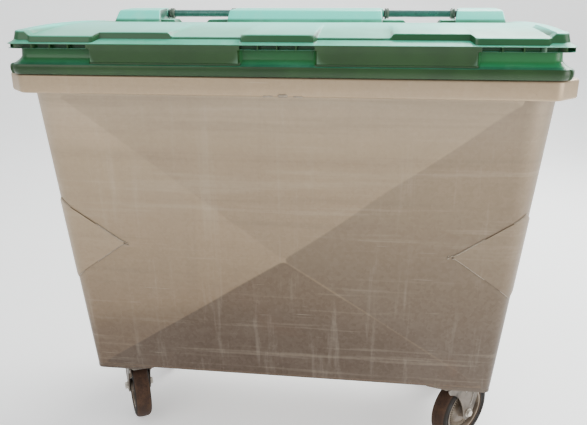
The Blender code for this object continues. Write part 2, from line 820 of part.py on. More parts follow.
def fork_mesh():
    """Bent sheet fork: a crown with two legs that reach back to the axle."""
    crown = CROWN_TOP - CROWN_SHEET / 2
    side = FORK_HALF_GAP + LEG_SHEET / 2
    leg = [(CROWN_FRONT, crown), (CROWN_FRONT, 0.184), (-0.034, 0.177), (-0.004, 0.162), (0.012, 0.140)]
    for step in range(7):
        angle = math.radians(200 + 28 * step)
        leg.append((TRAIL + 0.021 * math.cos(angle), WHEEL_RADIUS + 0.021 * math.sin(angle)))
    leg += [(0.079, 0.132), (0.084, 0.160), (0.081, 0.184), (CROWN_REAR, crown)]
    count = len(leg)
    points = [(x, sign * side, z) for sign in (-1, 1) for x, z in leg]
    faces = [
        tuple(range(count)),
        tuple(range(2 * count - 1, count - 1, -1)),
        (0, count - 1, 2 * count - 1, count),
    ]
    mesh = bpy.data.meshes.new("fork")
    mesh.from_pydata(points, [], faces)
    shape = bmesh.new()
    shape.from_mesh(mesh)
    bmesh.ops.recalc_face_normals(shape, faces=shape.faces)
    top = max(shape.faces, key=lambda face: face.calc_center_median().z)
    if top.normal.z < 0:
        bmesh.ops.reverse_faces(shape, faces=shape.faces)
    shape.to_mesh(mesh)
    shape.free()
    return mesh


def hub_mesh():
    """Wheel centre: barrel, web and rim in one turned body along Y."""
    half = HUB_HALF_LENGTH
    profile = [
        (-half, AXLE_RADIUS + 0.0004),
        (-half, 0.019),
        (-0.004, 0.022),
        (-0.003, 0.064),
        (-0.019, 0.066),
        (-0.019, TYRE_BORE - GAP),
        (0.019, TYRE_BORE - GAP),
        (0.019, 0.066),
        (0.003, 0.064),
        (0.004, 0.022),
        (half, 0.019),
        (half, AXLE_RADIUS + 0.0004),
    ]
    return mesh_from("hub", *lathe(profile, 20, "Y"))


def tyre_mesh():
    """Crowned solid tyre along Y, with a flat of its tread facing down."""
    half = TREAD_WIDTH / 2
    steps = 28
    grow = 1 / math.cos(math.pi / steps)
    profile = [
        (-half + 0.003, TYRE_BORE),
        (-half, TYRE_BORE + 0.009),
        (-half + 0.001, WHEEL_RADIUS - 0.010),
        (-half + 0.008, WHEEL_RADIUS - 0.0025),
        (-half + 0.015, WHEEL_RADIUS),
        (half - 0.015, WHEEL_RADIUS),
        (half - 0.008, WHEEL_RADIUS - 0.0025),
        (half - 0.001, WHEEL_RADIUS - 0.010),
        (half, TYRE_BORE + 0.009),
        (half - 0.003, TYRE_BORE),
    ]
    turned = [(along, radius * grow) for along, radius in profile]
    start = -math.pi / 2 + math.pi / steps
    return mesh_from("tyre", *lathe(turned, steps, "Y", start))


def axle_mesh():
    """Axle bolt with its head and nut, along Y."""
    seat = FORK_HALF_GAP + LEG_SHEET + GAP
    stations = (
        (-seat - 0.007, 0.0095),
        (-seat, 0.0105),
        (-seat + 0.0001, AXLE_RADIUS),
        (seat - 0.0001, AXLE_RADIUS),
        (seat, 0.0105),
        (seat + 0.009, 0.0095),
    )
    rings = []
    for along, radius in stations:
        rings.append([(radius * math.cos(math.pi * k / 6), along, radius * math.sin(math.pi * k / 6))
                      for k in range(12)])
    return mesh_from("axle", *loft(rings))


def kingpin_mesh():
    """Swivel bolt with its head under the crown, along Z."""
    under = CROWN_TOP - CROWN_SHEET - GAP
    stations = (
        (under - 0.006, 0.0085),
        (under - 0.0001, 0.0095),
        (under, AXLE_RADIUS),
        (RACE_TOP, AXLE_RADIUS),
    )
    rings = []
    for height, radius in stations:
        rings.append([(radius * math.cos(math.pi * k / 6), radius * math.sin(math.pi * k / 6), height)
                      for k in range(12)])
    return mesh_from("kingpin", *loft(rings))


def race_mesh():
    """Ball race between the top plate and the crown."""
    low = CROWN_TOP + GAP
    profile = [
        (low, AXLE_RADIUS + 0.0005),
        (low, 0.030),
        (low + 0.003, 0.036),
        (RACE_TOP - 0.004, 0.038),
        (RACE_TOP, 0.034),
        (RACE_TOP, AXLE_RADIUS + 0.0005),
    ]
    return mesh_from("ball_race", *lathe(profile, 20))


def pedal_mesh():
    """Brake pedal: tread plate, pivot barrel and the shoe that meets the tyre."""
    outline = [
        (-0.062, -0.010),
        (-0.066, -0.004),
        (-0.060, 0.001),
        (-0.006, 0.008),
        (0.004, 0.006),
        (0.006, -0.003),
        (-0.002, -0.029),
        (-0.007, -0.0295),
        (-0.008, -0.006),
    ]
    half = FORK_HALF_GAP - 0.0015
    rings = [[(px, side, pz) for px, pz in outline] for side in (-half, half)]
    return mesh_from("brake_pedal", *loft(rings))


def make_casters(zinc, rubber):
    """Four swivel casters; the rear pair has brakes."""
    shapes = {
        "fork": fork_mesh(),
        "hub": hub_mesh(),
        "tyre": tyre_mesh(),
        "axle": axle_mesh(),
        "kingpin": kingpin_mesh(),
        "race": race_mesh(),
        "pedal": pedal_mesh(),
    }
    plate_outline = [(-0.070, -0.055), (0.070, -0.055), (0.070, 0.055), (-0.070, 0.055)]
    shapes["plate"] = mesh_from("caster_plate", *plate(plate_outline, PLATE_LOW, PLATE_TOP))
    pin_hole = AXLE_RADIUS + 0.0006
    for corner, heading in HEADINGS.items():
        x = CASTER_X if corner.endswith("right") else -CASTER_X
        y = CASTER_INSET - HALF_DEPTH
        y = MIDDLE_Y + (y if corner.startswith("front") else -y)
        place("caster_plate_" + corner, shapes["plate"], zinc, (x, y, 0))
        smooth(place("ball_race_" + corner, shapes["race"], zinc, (x, y, 0)))
        smooth(place("kingpin_" + corner, shapes["kingpin"], zinc, (x, y, 0)))

        swivel = empty("swivel_" + corner, (x, y, 0), heading)
        fork = place("fork_" + corner, shapes["fork"], zinc, parent=swivel)
        thicken(fork, LEG_SHEET, 0)
        pin_tool = cylinder("pin_hole_" + corner, pin_hole, CROWN_TOP - 0.02, CROWN_TOP + 0.02, "Z",
                            (0, 0, 0), 12)
        pin_tool.parent = swivel
        boolean(fork, pin_tool, "DIFFERENCE")
        seat = FORK_HALF_GAP + 0.02
        centre = (TRAIL, 0, WHEEL_RADIUS)
        axle_tool = cylinder("axle_hole_" + corner, pin_hole, -seat, seat, "X", (0, 0, 0), 12)
        axle_tool.parent = swivel
        axle_tool.location = centre
        axle_tool.rotation_euler = (0, 0, math.pi / 2)
        boolean(fork, axle_tool, "DIFFERENCE")

        smooth(place("axle_" + corner, shapes["axle"], zinc, centre, parent=swivel))
        wheel = empty("wheel_" + corner, centre, 0.0, swivel)
        smooth(place("wheel_hub_" + corner, shapes["hub"], zinc, parent=wheel))
        smooth(place("tyre_" + corner, shapes["tyre"], rubber, parent=wheel))
        if corner.startswith("rear"):
            pivot = (PEDAL_PIVOT[0], 0, PEDAL_PIVOT[1])
            place("brake_pedal_" + corner, shapes["pedal"], zinc, pivot, parent=swivel)


def main():
    clear_scene()
    steel = material("galvanised_steel", (0.34, 0.29, 0.24), 0.42, 0.75)
    plastic = material("green_plastic", (0.06, 0.16, 0.07), 0.35, 0.0)
    zinc = material("zinc_plate", (0.33, 0.30, 0.26), 0.40, 0.85)
    rubber = material("black_rubber", (0.05, 0.04, 0.035), 0.75, 0.0)
    make_body_panels(steel)
    make_gussets(steel)
    make_floor(steel, rubber)
    make_rim(steel)
    make_hinges(zinc)
    make_lid(plastic)
    make_pads(steel)
    make_casters(zinc, rubber)


main()
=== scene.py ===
"""Looks of the wheeled waste container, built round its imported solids.

Row frame: +X to the container's right, +Y to the rear, +Z up, origin on the ground under
the middle. Lengths are in metres. Heights marked "over the rim" are measured from RIM_TOP.
"""

import bisect
import json
import math
import random

import bmesh
import bpy
from mathutils import Matrix, Vector, noise

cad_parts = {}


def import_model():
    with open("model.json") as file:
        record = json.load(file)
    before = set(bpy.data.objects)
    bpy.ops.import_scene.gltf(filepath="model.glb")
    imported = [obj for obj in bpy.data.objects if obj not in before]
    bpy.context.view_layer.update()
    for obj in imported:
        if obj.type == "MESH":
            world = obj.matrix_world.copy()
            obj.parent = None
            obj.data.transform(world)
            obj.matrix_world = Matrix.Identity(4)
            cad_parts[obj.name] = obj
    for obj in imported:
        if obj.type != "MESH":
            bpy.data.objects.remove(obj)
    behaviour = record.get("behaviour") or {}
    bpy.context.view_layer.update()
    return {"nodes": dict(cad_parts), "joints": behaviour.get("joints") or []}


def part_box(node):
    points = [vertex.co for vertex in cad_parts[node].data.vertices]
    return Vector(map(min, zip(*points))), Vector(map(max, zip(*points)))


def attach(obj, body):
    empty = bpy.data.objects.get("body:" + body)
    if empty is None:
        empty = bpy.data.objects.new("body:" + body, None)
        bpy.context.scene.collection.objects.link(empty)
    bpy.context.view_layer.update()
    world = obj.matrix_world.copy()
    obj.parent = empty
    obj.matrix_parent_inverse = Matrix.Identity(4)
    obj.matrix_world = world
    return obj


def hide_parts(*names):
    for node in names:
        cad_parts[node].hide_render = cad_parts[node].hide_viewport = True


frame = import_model()

# ---------------------------------------------------------------- places taken from the frame
CORNERS = ("front_left", "front_right", "rear_left", "rear_right")
QUARTERS = ((-1, -1), (-1, 1), (1, -1), (1, 1))
RIM_LOW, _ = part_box("rim_front")
_, RIM_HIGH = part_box("rim_rear")
RIM_TOP = RIM_HIGH.z
RIM_BOTTOM = RIM_LOW.z
HALF_WIDTH = RIM_HIGH.x
HALF_DEPTH = (RIM_HIGH.y - RIM_LOW.y) / 2
MIDDLE_Y = (RIM_HIGH.y + RIM_LOW.y) / 2
PANEL_LOW, PANEL_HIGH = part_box("front_panel")
JOINTS = {joint["name"]: joint for joint in frame["joints"]}
HINGE = Vector(JOINTS["lid_hinge"]["pos_m"])

# ---------------------------------------------------------------- body section, as in the solids
UPPER = {"z": RIM_BOTTOM, "half_width": 0.608, "inset": 0.053, "radius": 0.078}
LOWER = {"z": PANEL_LOW.z, "half_width": 0.537, "inset": 0.106, "radius": 0.020}
SHEET = 0.002
CREASE_BOTTOM = 0.247
CREASE_TOP = 1.000
CREASE_MIDDLE = 0.600
FACE_BULGE = 0.014
SIDE_BULGE = 0.010
RIM_CHAMFER = 0.048
LID_FRONT = MIDDLE_Y - HALF_DEPTH - 0.008

# ---------------------------------------------------------------- directions
UP = (0, 0, 1)
DOWN = (0, 0, -1)
REARWARD = (0, 1, 0)
FORWARD = (0, -1, 0)
RIGHTWARD = (1, 0, 0)


# ---------------------------------------------------------------- mesh helpers
def mesh_of(name, points, faces, tidy=True):
    """A mesh with its faces pointing outwards."""
    mesh = bpy.data.meshes.new(name)
    mesh.from_pydata([tuple(p) for p in points], [], faces)
    if tidy:
        shape = bmesh.new()
        shape.from_mesh(mesh)
        bmesh.ops.recalc_face_normals(shape, faces=shape.faces)
        shape.to_mesh(mesh)
        shape.free()
    return mesh


def piece(name, mesh, finish, body, replaces=(), smooth=35):
    """A visible piece that rides on a body; edges over smooth degrees stay sharp."""
    thing = bpy.data.objects.new(name, mesh)
    bpy.context.scene.collection.objects.link(thing)
    mesh.materials.append(finish)
    mesh.shade_smooth()
    mesh.set_sharp_from_angle(angle=math.radians(smooth))
    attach(thing, body)
    if replaces:
        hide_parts(*replaces)
    return thing


def weld_piece(name, heap):
    """Welds on the container."""
    piece(name, heap.mesh(name), WELD, "container", smooth=60)


def lid_piece(name, mesh, smooth, replaces=()):
    """A moulded piece of the lid."""
    return piece(name, mesh, PLASTIC, "lid", replaces, smooth)


def zinc_piece(name, heap, finish, body, replaces=(), smooth=30):
    """A plated piece of the hinges or casters."""
    return piece(name, heap.mesh(name), finish, body, replaces, smooth)


def modify(thing, kind, **values):
    """Add a modifier and set its values."""
    change = thing.modifiers.new(kind.title(), kind)
    for key, value in values.items():
        setattr(change, key, value)


def rounded(thing, width, segments=3, angle=30):
    """Round a piece's edges."""
    modify(thing, "BEVEL", width=width, segments=segments, limit_method="ANGLE",
           angle_limit=math.radians(angle), harden_normals=True)
    return thing


def loft(rings, closed=False, caps=True):
    """Points and faces joining equal rings."""
    count = len(rings[0])
    points = [p for ring in rings for p in ring]
    faces = []
    for level in range(len(rings) if closed else len(rings) - 1):
        here = level * count
        there = ((level + 1) % len(rings)) * count
        for step in range(count):
            after = (step + 1) % count
            faces.append((here + step, here + after, there + after, there + step))
    if caps and not closed:
        faces.append(tuple(range(count)))
        faces.append(tuple(range((len(rings) - 1) * count, len(rings) * count)))
    return points, faces


def axes_for(direction):
    """Two unit vectors square to a direction."""
    way = Vector(direction).normalized()
    side = way.cross(Vector((0, 0, 1)) if abs(way.z) < 0.9 else Vector((1, 0, 0))).normalized()
    return way, side, way.cross(side)


def spokes(direction, steps):
    """An axis and the unit vectors that stand out round it."""
    way, side, other = axes_for(direction)
    angles = [2 * math.pi * step / steps for step in range(steps)]
    return way, [side * math.cos(angle) + other * math.sin(angle) for angle in angles]


def lathe(profile, steps, centre, direction):
    """Turn a closed (along, radius) outline round an axis."""
    way, outs = spokes(direction, steps)
    return loft([[Vector(centre) + way * along + out * radius for along, radius in profile]
                 for out in outs], closed=True)


def solid_lathe(profile, steps, centre, direction):
    """Turn an open (along, radius) outline into a solid with flat ends."""
    way, outs = spokes(direction, steps)
    return loft([[Vector(centre) + way * along + out * radius for out in outs]
                 for along, radius in profile])


def mirrored(half):
    """A half outline of (along, radius) followed by its mirror image."""
    return half + [(-along, radius) for along, radius in reversed(half)]


def arc(radius, start, end, count, centre=(0.0, 0.0)):
    """2-D points round part of a circle, between two angles in degrees."""
    angles = [math.radians(mix(start, end, k / count)) for k in range(count + 1)]
    return [(centre[0] + radius * math.cos(a), centre[1] + radius * math.sin(a)) for a in angles]


class Heap:
    """Collects many small bodies into one mesh."""

    def __init__(self):
        self.points = []
        self.faces = []

    def add(self, shape):
        """Add (points, faces) or another heap."""
        points, faces = (shape.points, shape.faces) if isinstance(shape, Heap) else shape
        start = len(self.points)
        self.points += [Vector(p) for p in points]
        self.faces += [tuple(start + i for i in face) for face in faces]
        return self

    def moved(self, matrix):
        """Carry all points by a matrix."""
        self.points = [matrix @ p for p in self.points]
        return self

    def mesh(self, name):
        return mesh_of(name, self.points, self.faces)


WASHER_SEAT = 0.0017


def hexagon_bolt(centre, direction, radius, height, washer=None):
    """Hexagon head with a chamfered top, on a washer."""
    heap = Heap()
    base = 0.0
    if washer:
        heap.add(solid_lathe([(0, washer), (0.0014, washer), (0.0018, washer - 0.0004)], 28,
                             centre, direction))
        base = WASHER_SEAT
    heap.add(solid_lathe([(base, radius), (base + height * 0.8, radius),
                          (base + height, radius * 0.84)], 6, centre, direction))
    heap.add(solid_lathe([(base + height * 0.7, radius * 0.82), (base + height * 1.02, radius * 0.80),
                          (base + height * 1.05, radius * 0.5)], 20, centre, direction))
    return heap


def bead(points, radius, seed, sides=8, ripple=0.28):
    """An uneven weld bead along a line."""
    draw = random.Random(seed)
    line = [Vector(points[0])]
    for start, end in zip(points, points[1:]):
        start = Vector(start)
        end = Vector(end)
        count = max(1, int((end - start).length / (radius * 0.9)))
        line += [start.lerp(end, (k + 1) / count) for k in range(count)]
    rings = []
    for k, place in enumerate(line):
        before = line[max(k - 1, 0)]
        after = line[min(k + 1, len(line) - 1)]
        _, side, other = axes_for(after - before)
        wobble = radius * (1 - ripple / 2 + ripple * draw.random())
        if k in (0, len(line) - 1):
            wobble *= 0.45
        shift = (side * draw.uniform(-1, 1) + other * draw.uniform(-1, 1)) * radius * 0.12
        rings.append([place + shift + (side * math.cos(a) + other * math.sin(a)) * wobble
                      for a in (2 * math.pi * i / sides for i in range(sides))])
    return loft(rings)


def blob(centre, radius, seed):
    """A small uneven drop."""
    shape = bmesh.new()
    bmesh.ops.create_icosphere(shape, subdivisions=2, radius=radius)
    draw = random.Random(seed)
    stretch = Vector((draw.uniform(0.7, 1.4), draw.uniform(0.7, 1.1), draw.uniform(0.7, 1.3)))
    shift = Vector((seed * 1.7, seed * 0.3, 0))
    points = []
    for vert in shape.verts:
        swell = 1 + 0.25 * noise.noise(vert.co / radius + shift)
        points.append(Vector(centre) + Vector(a * b for a, b in zip(vert.co, stretch)) * swell)
    faces = [tuple(v.index for v in face.verts) for face in shape.faces]
    shape.free()
    return points, faces


def ramp(low, high, value):
    """Straight step from 0 to 1."""
    return min(max((value - low) / (high - low), 0.0), 1.0)


def blend(low, high, value):
    """Soft step from 0 to 1."""
    share = ramp(low, high, value)
    return share * share * (3 - 2 * share)


def mix(a, b, share):
    """Number between a and b."""
    return a + (b - a) * share


# ---------------------------------------------------------------- materials
class Nodes:
    """Short hand for building a node material; colour is what has been laid on so far."""

    def __init__(self, name):
        self.material = bpy.data.materials.new(name)
        self.material.use_nodes = True
        self.tree = self.material.node_tree
        self.shader = self.tree.nodes["Principled BSDF"]
        self.place = self.node("ShaderNodeTexCoord").outputs["Object"]
        self.colour = None

    def node(self, kind, **values):
        made = self.tree.nodes.new(kind)
        for key, value in values.items():
            setattr(made, key, value)
        return made

    def feed(self, socket, value):
        if isinstance(value, bpy.types.NodeSocket):
            self.tree.links.new(value, socket)
        else:
            socket.default_value = value

    def scaled(self, scale):
        """The place, stretched along each axis."""
        node = self.node("ShaderNodeMapping")
        self.feed(node.inputs["Vector"], self.place)
        node.inputs["Scale"].default_value = scale
        return node.outputs["Vector"]

    def noise(self, scale, detail=4.0, rough=0.55, vector=None, distort=0.0):
        node = self.node("ShaderNodeTexNoise")
        for key, value in (("Vector", vector or self.place), ("Scale", scale), ("Detail", detail),
                           ("Roughness", rough), ("Distortion", distort)):
            self.feed(node.inputs[key], value)
        return node.outputs["Fac"]

    def cells(self, scale, output="Distance"):
        node = self.node("ShaderNodeTexVoronoi")
        self.feed(node.inputs["Vector"], self.place)
        node.inputs["Scale"].default_value = scale
        return node.outputs[output]

    def remap(self, value, low, high, new_low=0.0, new_high=1.0, smooth=True):
        """Step from new_low to new_high while the value goes from low to high."""
        node = self.node("ShaderNodeMapRange")
        node.interpolation_type = "SMOOTHSTEP" if smooth else "LINEAR"
        for key, number in (("Value", value), ("From Min", low), ("From Max", high),
                            ("To Min", new_low), ("To Max", new_high)):
            self.feed(node.inputs[key], number)
        return node.outputs["Result"]

    def math(self, operation, a, b=0.0):
        node = self.node("ShaderNodeMath", operation=operation)
        self.feed(node.inputs[0], a)
        self.feed(node.inputs[1], b)
        return node.outputs[0]

    def times(self, a, b):
        return self.math("MULTIPLY", a, b)

    def mix(self, factor, a, b):
        """Mix two colours; the sockets are found by place, as their names repeat."""
        node = self.node("ShaderNodeMix", data_type="RGBA")
        self.feed(node.inputs[0], factor)
        self.feed(node.inputs[6], a)
        self.feed(node.inputs[7], b)
        return node.outputs[2]

    def coat(self, mask, tone):
        """Lay a tone over the colour where the mask is near 1."""
        self.colour = self.mix(mask, self.colour, rgb(tone))

    def axis(self, vector, index):
        node = self.node("ShaderNodeSeparateXYZ")
        self.feed(node.inputs[0], vector)
        return node.outputs[index]

    def facing(self, index):
        """One axis of the surface's normal."""
        return self.axis(self.node("ShaderNodeNewGeometry").outputs["Normal"], index)

    def pointed(self):
        return self.node("ShaderNodeNewGeometry").outputs["Pointiness"]

    def crevice(self, distance):
        node = self.node("ShaderNodeAmbientOcclusion", samples=6)
        node.inputs["Distance"].default_value = distance
        return node.outputs["AO"]

    def bump(self, height, strength, distance, normal=None):
        node = self.node("ShaderNodeBump")
        node.inputs["Strength"].default_value = strength
        node.inputs["Distance"].default_value = distance
        self.feed(node.inputs["Height"], height)
        if normal is not None:
            self.feed(node.inputs["Normal"], normal)
        return node.outputs["Normal"]

    def finish(self, rough, metal=0.0, **extra):
        """Feed the shader and give back the material."""
        values = {"Base_Color": self.colour, "Roughness": rough, "Metallic": metal, **extra}
        for key, value in values.items():
            self.feed(self.shader.inputs[key.replace("_", " ")], value)
        return self.material


def rgb(text):
    """A display colour as a linear one."""
    values = [int(text[i:i + 2], 16) / 255 for i in (0, 2, 4)]
    return tuple(v / 12.92 if v <= 0.04045 else ((v + 0.055) / 1.055) ** 2.4 for v in values) + (1.0,)


def galvanised(name, high, low, rough=0.40, metal=0.50, dirt=0.5, top=1.02, bottom=0.24, fold=0.0):
    """Weathered zinc coat: faint crystal grain, run-down streaks, level rub marks, dust stains low down.

    Its colour goes from low at the bottom height to high at the top one, as painted shade and light.
    The fold is how strongly a creased panel takes more painted light and shade: a lighter band at
    the top, a dark band low down and a shade of its own on each facet.
    """
    n = Nodes(name)
    height = n.axis(n.place, 2)
    # Painted shade and light: darker towards the bottom, lighter towards the top.
    n.colour = n.mix(n.remap(height, bottom, top, smooth=False), rgb(low), rgb(high))
    # Painted light: a lighter band at the top.
    n.coat(n.remap(height, 0.84, 1.02, 0.0, 0.22 * fold), "dccbb8")
    # Painted shade: a dark band low down, its edge wandering.
    wander = n.remap(n.noise(1.0, 3.0, 0.5, n.scaled((1.3, 1.3, 3.0))), 0.0, 1.0, -0.09, 0.09)
    shade = n.remap(n.math("ADD", height, wander), 0.34, 0.46, 1.0, 0.0)
    n.coat(n.times(shade, 0.36 * fold), "3c2d22")
    # Painted shade by facet: the downward-facing bottom facet darkest, the top facet a little, and faces
    # towards +X more, most of all low down.
    tilt = n.facing(2)
    n.coat(n.remap(tilt, -0.098, -0.086, 0.62 * fold, 0.0), "38291f")
    n.coat(n.remap(tilt, -0.056, -0.044, 0.0, 0.15 * fold), "44352a")
    painted_facet_shade = n.remap(n.facing(0), 0.008, 0.018, 0.0, fold)
    n.coat(n.times(painted_facet_shade, n.remap(height, 0.35, 0.85, 0.72, 0.42)), "42352b")
    cloud = n.noise(2.4, 5.0, 0.6)
    greyed = n.mix(0.5, n.colour, rgb("83776a"))
    n.colour = n.mix(n.remap(cloud, 0.35, 0.72, 0.0, 0.35), n.colour, greyed)
    streak = n.noise(1.0, 6.0, 0.62, n.scaled((30.0, 30.0, 1.1)))
    n.coat(n.remap(streak, 0.52, 0.75, 0.0, 0.16 * dirt), "5e5144")
    n.coat(n.remap(streak, 0.28, 0.45, 0.16 * dirt, 0.0), "d0c5b4")
    level = n.noise(1.0, 5.0, 0.6, n.scaled((1.6, 1.6, 42.0)))
    n.coat(n.remap(level, 0.50, 0.72, 0.0, 0.26 * dirt), "5c4c3f")
    n.coat(n.remap(level, 0.30, 0.46, 0.20 * dirt, 0.0), "cabba6")
    grain = n.axis(n.cells(140.0, "Color"), 0)
    n.colour = n.mix(0.05, n.colour, n.mix(grain, rgb("7b7065"), rgb("c9bdac")))
    n.coat(n.remap(n.noise(300.0, 3.0, 0.6), 0.62, 0.76, 0.0, 0.22), "6a5d50")
    stain = n.remap(n.noise(4.2, 6.0, 0.7, distort=1.0), 0.56, 0.74, 0.0, 0.60 * dirt)
    n.coat(n.times(stain, n.remap(height, bottom + 0.10, bottom + 0.42, 1.0, 0.25)), "5d4635")
    # Painted shade in crevices, from ambient occlusion; the same mask makes them rougher.
    crevice_shade = n.remap(n.crevice(0.030), 0.25, 0.95, 0.45, 0.0)
    n.coat(crevice_shade, "54483b")
    scratch = n.noise(1.0, 2.0, 0.5, n.scaled((7.0, 7.0, 340.0)))
    n.coat(n.remap(scratch, 0.72, 0.77, 0.0, 0.22), "e2d9ca")
    roughness = n.math("ADD", n.remap(cloud, 0.3, 0.7, rough - 0.05, rough + 0.06),
                       n.remap(grain, 0.0, 1.0, -0.015, 0.015, False))
    roughness = n.math("ADD", roughness, n.remap(crevice_shade, 0.0, 0.5, 0.0, 0.25, False))
    fine = n.bump(n.noise(520.0, 3.0, 0.6), 0.08, 0.0005)
    return n.finish(roughness, metal, Normal=n.bump(n.noise(14.0, 3.0, 0.5), 0.10, 0.003, fine))


def weld_metal(name):
    """Bright uneven weld, dulled by dust."""
    n = Nodes(name)
    patch = n.noise(120.0, 4.0, 0.6)
    n.colour = n.mix(patch, rgb("6d6053"), rgb("b9ac99"))
    normal = n.bump(n.noise(600.0, 2.0, 0.5), 0.35, 0.0008)
    return n.finish(n.remap(patch, 0.2, 0.8, 0.35, 0.6), 0.6, Normal=normal)


def plated(name, tone, dark, rough, metal, worn=0.7):
    """Plate or paint under road dust, its edges paler (part wear, part painted highlight), with painted
    shade in its crevices.
    """
    n = Nodes(name)
    dust = n.noise(22.0, 6.0, 0.65)
    n.colour = n.mix(n.remap(dust, 0.35, 0.65), rgb(tone), rgb(dark))
    n.coat(n.remap(n.noise(260.0, 3.0), 0.55, 0.72, 0.0, 0.4), "4a3f35")
    # Paler edges: part wear, part painted highlight.
    n.coat(n.times(n.remap(n.pointed(), 0.52, 0.60), worn), "d8d0c4")
    # Painted shade in crevices, from ambient occlusion.
    n.coat(n.remap(n.crevice(0.012), 0.2, 0.9, 0.7, 0.0), "3c332a")
    roughness = n.remap(dust, 0.3, 0.7, rough - 0.08, rough + 0.22)
    return n.finish(roughness, metal, Normal=n.bump(n.noise(350.0, 3.0), 0.15, 0.0006))


def moulded(name):
    """Moulded lid plastic: deep green sides, and painted light with chalky streaks where it faces the sky.
    """
    n = Nodes(name)
    up = n.facing(2)
    across = n.axis(n.place, 0)
    height = n.axis(n.place, 2)
    cloud = n.noise(3.2, 5.0, 0.6)
    # The sides: darker plastic; painted light in the front recesses, stronger towards the right, and a
    # fresher green above them.
    n.colour = n.mix(n.remap(n.noise(9.0, 5.0), 0.3, 0.7), rgb("183414"), rgb("21411b"))
    lit_recess = n.remap(n.axis(n.place, 1), LID_FRONT + 0.008, LID_FRONT + 0.013)
    lit_recess = n.times(lit_recess, n.remap(height, RIM_TOP + 0.022, RIM_TOP + 0.027))
    lit_recess = n.times(lit_recess, n.remap(height, RIM_TOP + 0.060, RIM_TOP + 0.064, 1.0, 0.0))
    n.coat(n.times(lit_recess, n.remap(across, -0.3, 0.5, 0.40, 0.85)), "2c7a45")
    n.coat(n.remap(height, RIM_TOP + 0.064, RIM_TOP + 0.070, 0.0, 0.55), "1f5f3a")
    # The top: painted light, brightest on the raised blocks, least below the flange and at the left.
    raised = n.remap(height, RIM_TOP + 0.088, RIM_TOP + 0.098)
    top = n.mix(n.remap(cloud, 0.3, 0.7), rgb("38b48e"), rgb("5edab8"))
    top = n.mix(raised, top, rgb("5ef8e0"))
    painted_light = n.remap(n.math("ADD", up, n.remap(cloud, 0.0, 1.0, -0.08, 0.08)), 0.52, 0.95)
    painted_light = n.times(painted_light, n.remap(height, RIM_TOP + 0.050, RIM_TOP + 0.060, 0.22, 1.0))
    painted_light = n.times(painted_light, n.remap(across, -0.6, 0.1, 0.76, 1.0))
    painted_light = n.math("MAXIMUM", painted_light, n.times(raised, 0.92))
    n.colour = n.mix(painted_light, n.colour, top)
    # Painted shade on the raised blocks' end faces.
    n.coat(n.times(n.remap(n.math("ABSOLUTE", n.facing(0)), 0.70, 0.90), raised), "1d4a3d")
    # Chalky streaks, laid only where the painted light is.
    chalk_in_painted_light = n.noise(1.0, 7.0, 0.7, n.scaled((14.0, 3.0, 14.0)))
    chalk_in_painted_light = n.times(n.remap(chalk_in_painted_light, 0.46, 0.72, 0.0, 0.36), painted_light)
    n.coat(chalk_in_painted_light, "aef2dc")
    scuff = n.noise(1.0, 3.0, 0.6, n.scaled((5.0, 160.0, 160.0)))
    n.coat(n.remap(scuff, 0.68, 0.76, 0.0, 0.18), "7cb592")
    n.coat(n.remap(n.noise(300.0, 2.0), 0.66, 0.75, 0.0, 0.25), "22361f")
    # Painted shade in crevices, from ambient occlusion.
    n.coat(n.remap(n.crevice(0.018), 0.25, 0.95, 0.42, 0.0), "17351c")
    # Painted highlight on edges, strongest on those that face up.
    edge = n.remap(n.pointed(), 0.53, 0.60, 0.0, 0.55)
    n.coat(n.times(edge, n.remap(up, -0.2, 0.5, 0.2, 1.0)), "b4e0c8")
    grain = n.bump(n.noise(900.0, 2.0), 0.08, 0.0003)
    rough = n.mix(chalk_in_painted_light, (0.30, 0.30, 0.30, 1), (0.50, 0.50, 0.50, 1))
    return n.finish(n.axis(rough, 0), Normal=n.bump(n.noise(9.0, 3.0), 0.14, 0.004, grain),
                    Specular_IOR_Level=0.40)


def rubber(name, tone, worn):
    """Dusty rubber, lighter where it touches the road."""
    n = Nodes(name)
    dust = n.noise(34.0, 6.0, 0.65)
    n.colour = n.mix(n.remap(dust, 0.35, 0.7), rgb(tone), rgb(worn))
    n.coat(n.remap(n.noise(420.0, 3.0), 0.5, 0.7, 0.0, 0.5), "1d1712")
    n.coat(n.remap(n.pointed(), 0.52, 0.60, 0.0, 0.5), "75624f")
    fine = n.bump(n.noise(520.0, 4.0), 0.30, 0.0008)
    return n.finish(n.remap(dust, 0.3, 0.7, 0.62, 0.88), Specular_IOR_Level=0.22,
                    Normal=n.bump(n.cells(160.0), 0.10, 0.0008, fine))


def hub_finish(name):
    """Tan moulded wheel centre under brake dust, cleaner on its proud edges, with painted shade in its
    recesses.
    """
    n = Nodes(name)
    dust = n.noise(26.0, 6.0, 0.6)
    n.colour = n.mix(n.remap(dust, 0.3, 0.7), rgb("6f5f4e"), rgb("453829"))
    # Painted shade in recesses, from ambient occlusion.
    n.coat(n.remap(n.crevice(0.016), 0.2, 0.95, 0.85, 0.0), "261e17")
    n.coat(n.remap(n.pointed(), 0.52, 0.60, 0.0, 0.45), "c4b5a0")
    normal = n.bump(n.noise(480.0, 3.0), 0.2, 0.0006)
    return n.finish(n.remap(dust, 0.3, 0.7, 0.38, 0.62), 0.1, Normal=normal)


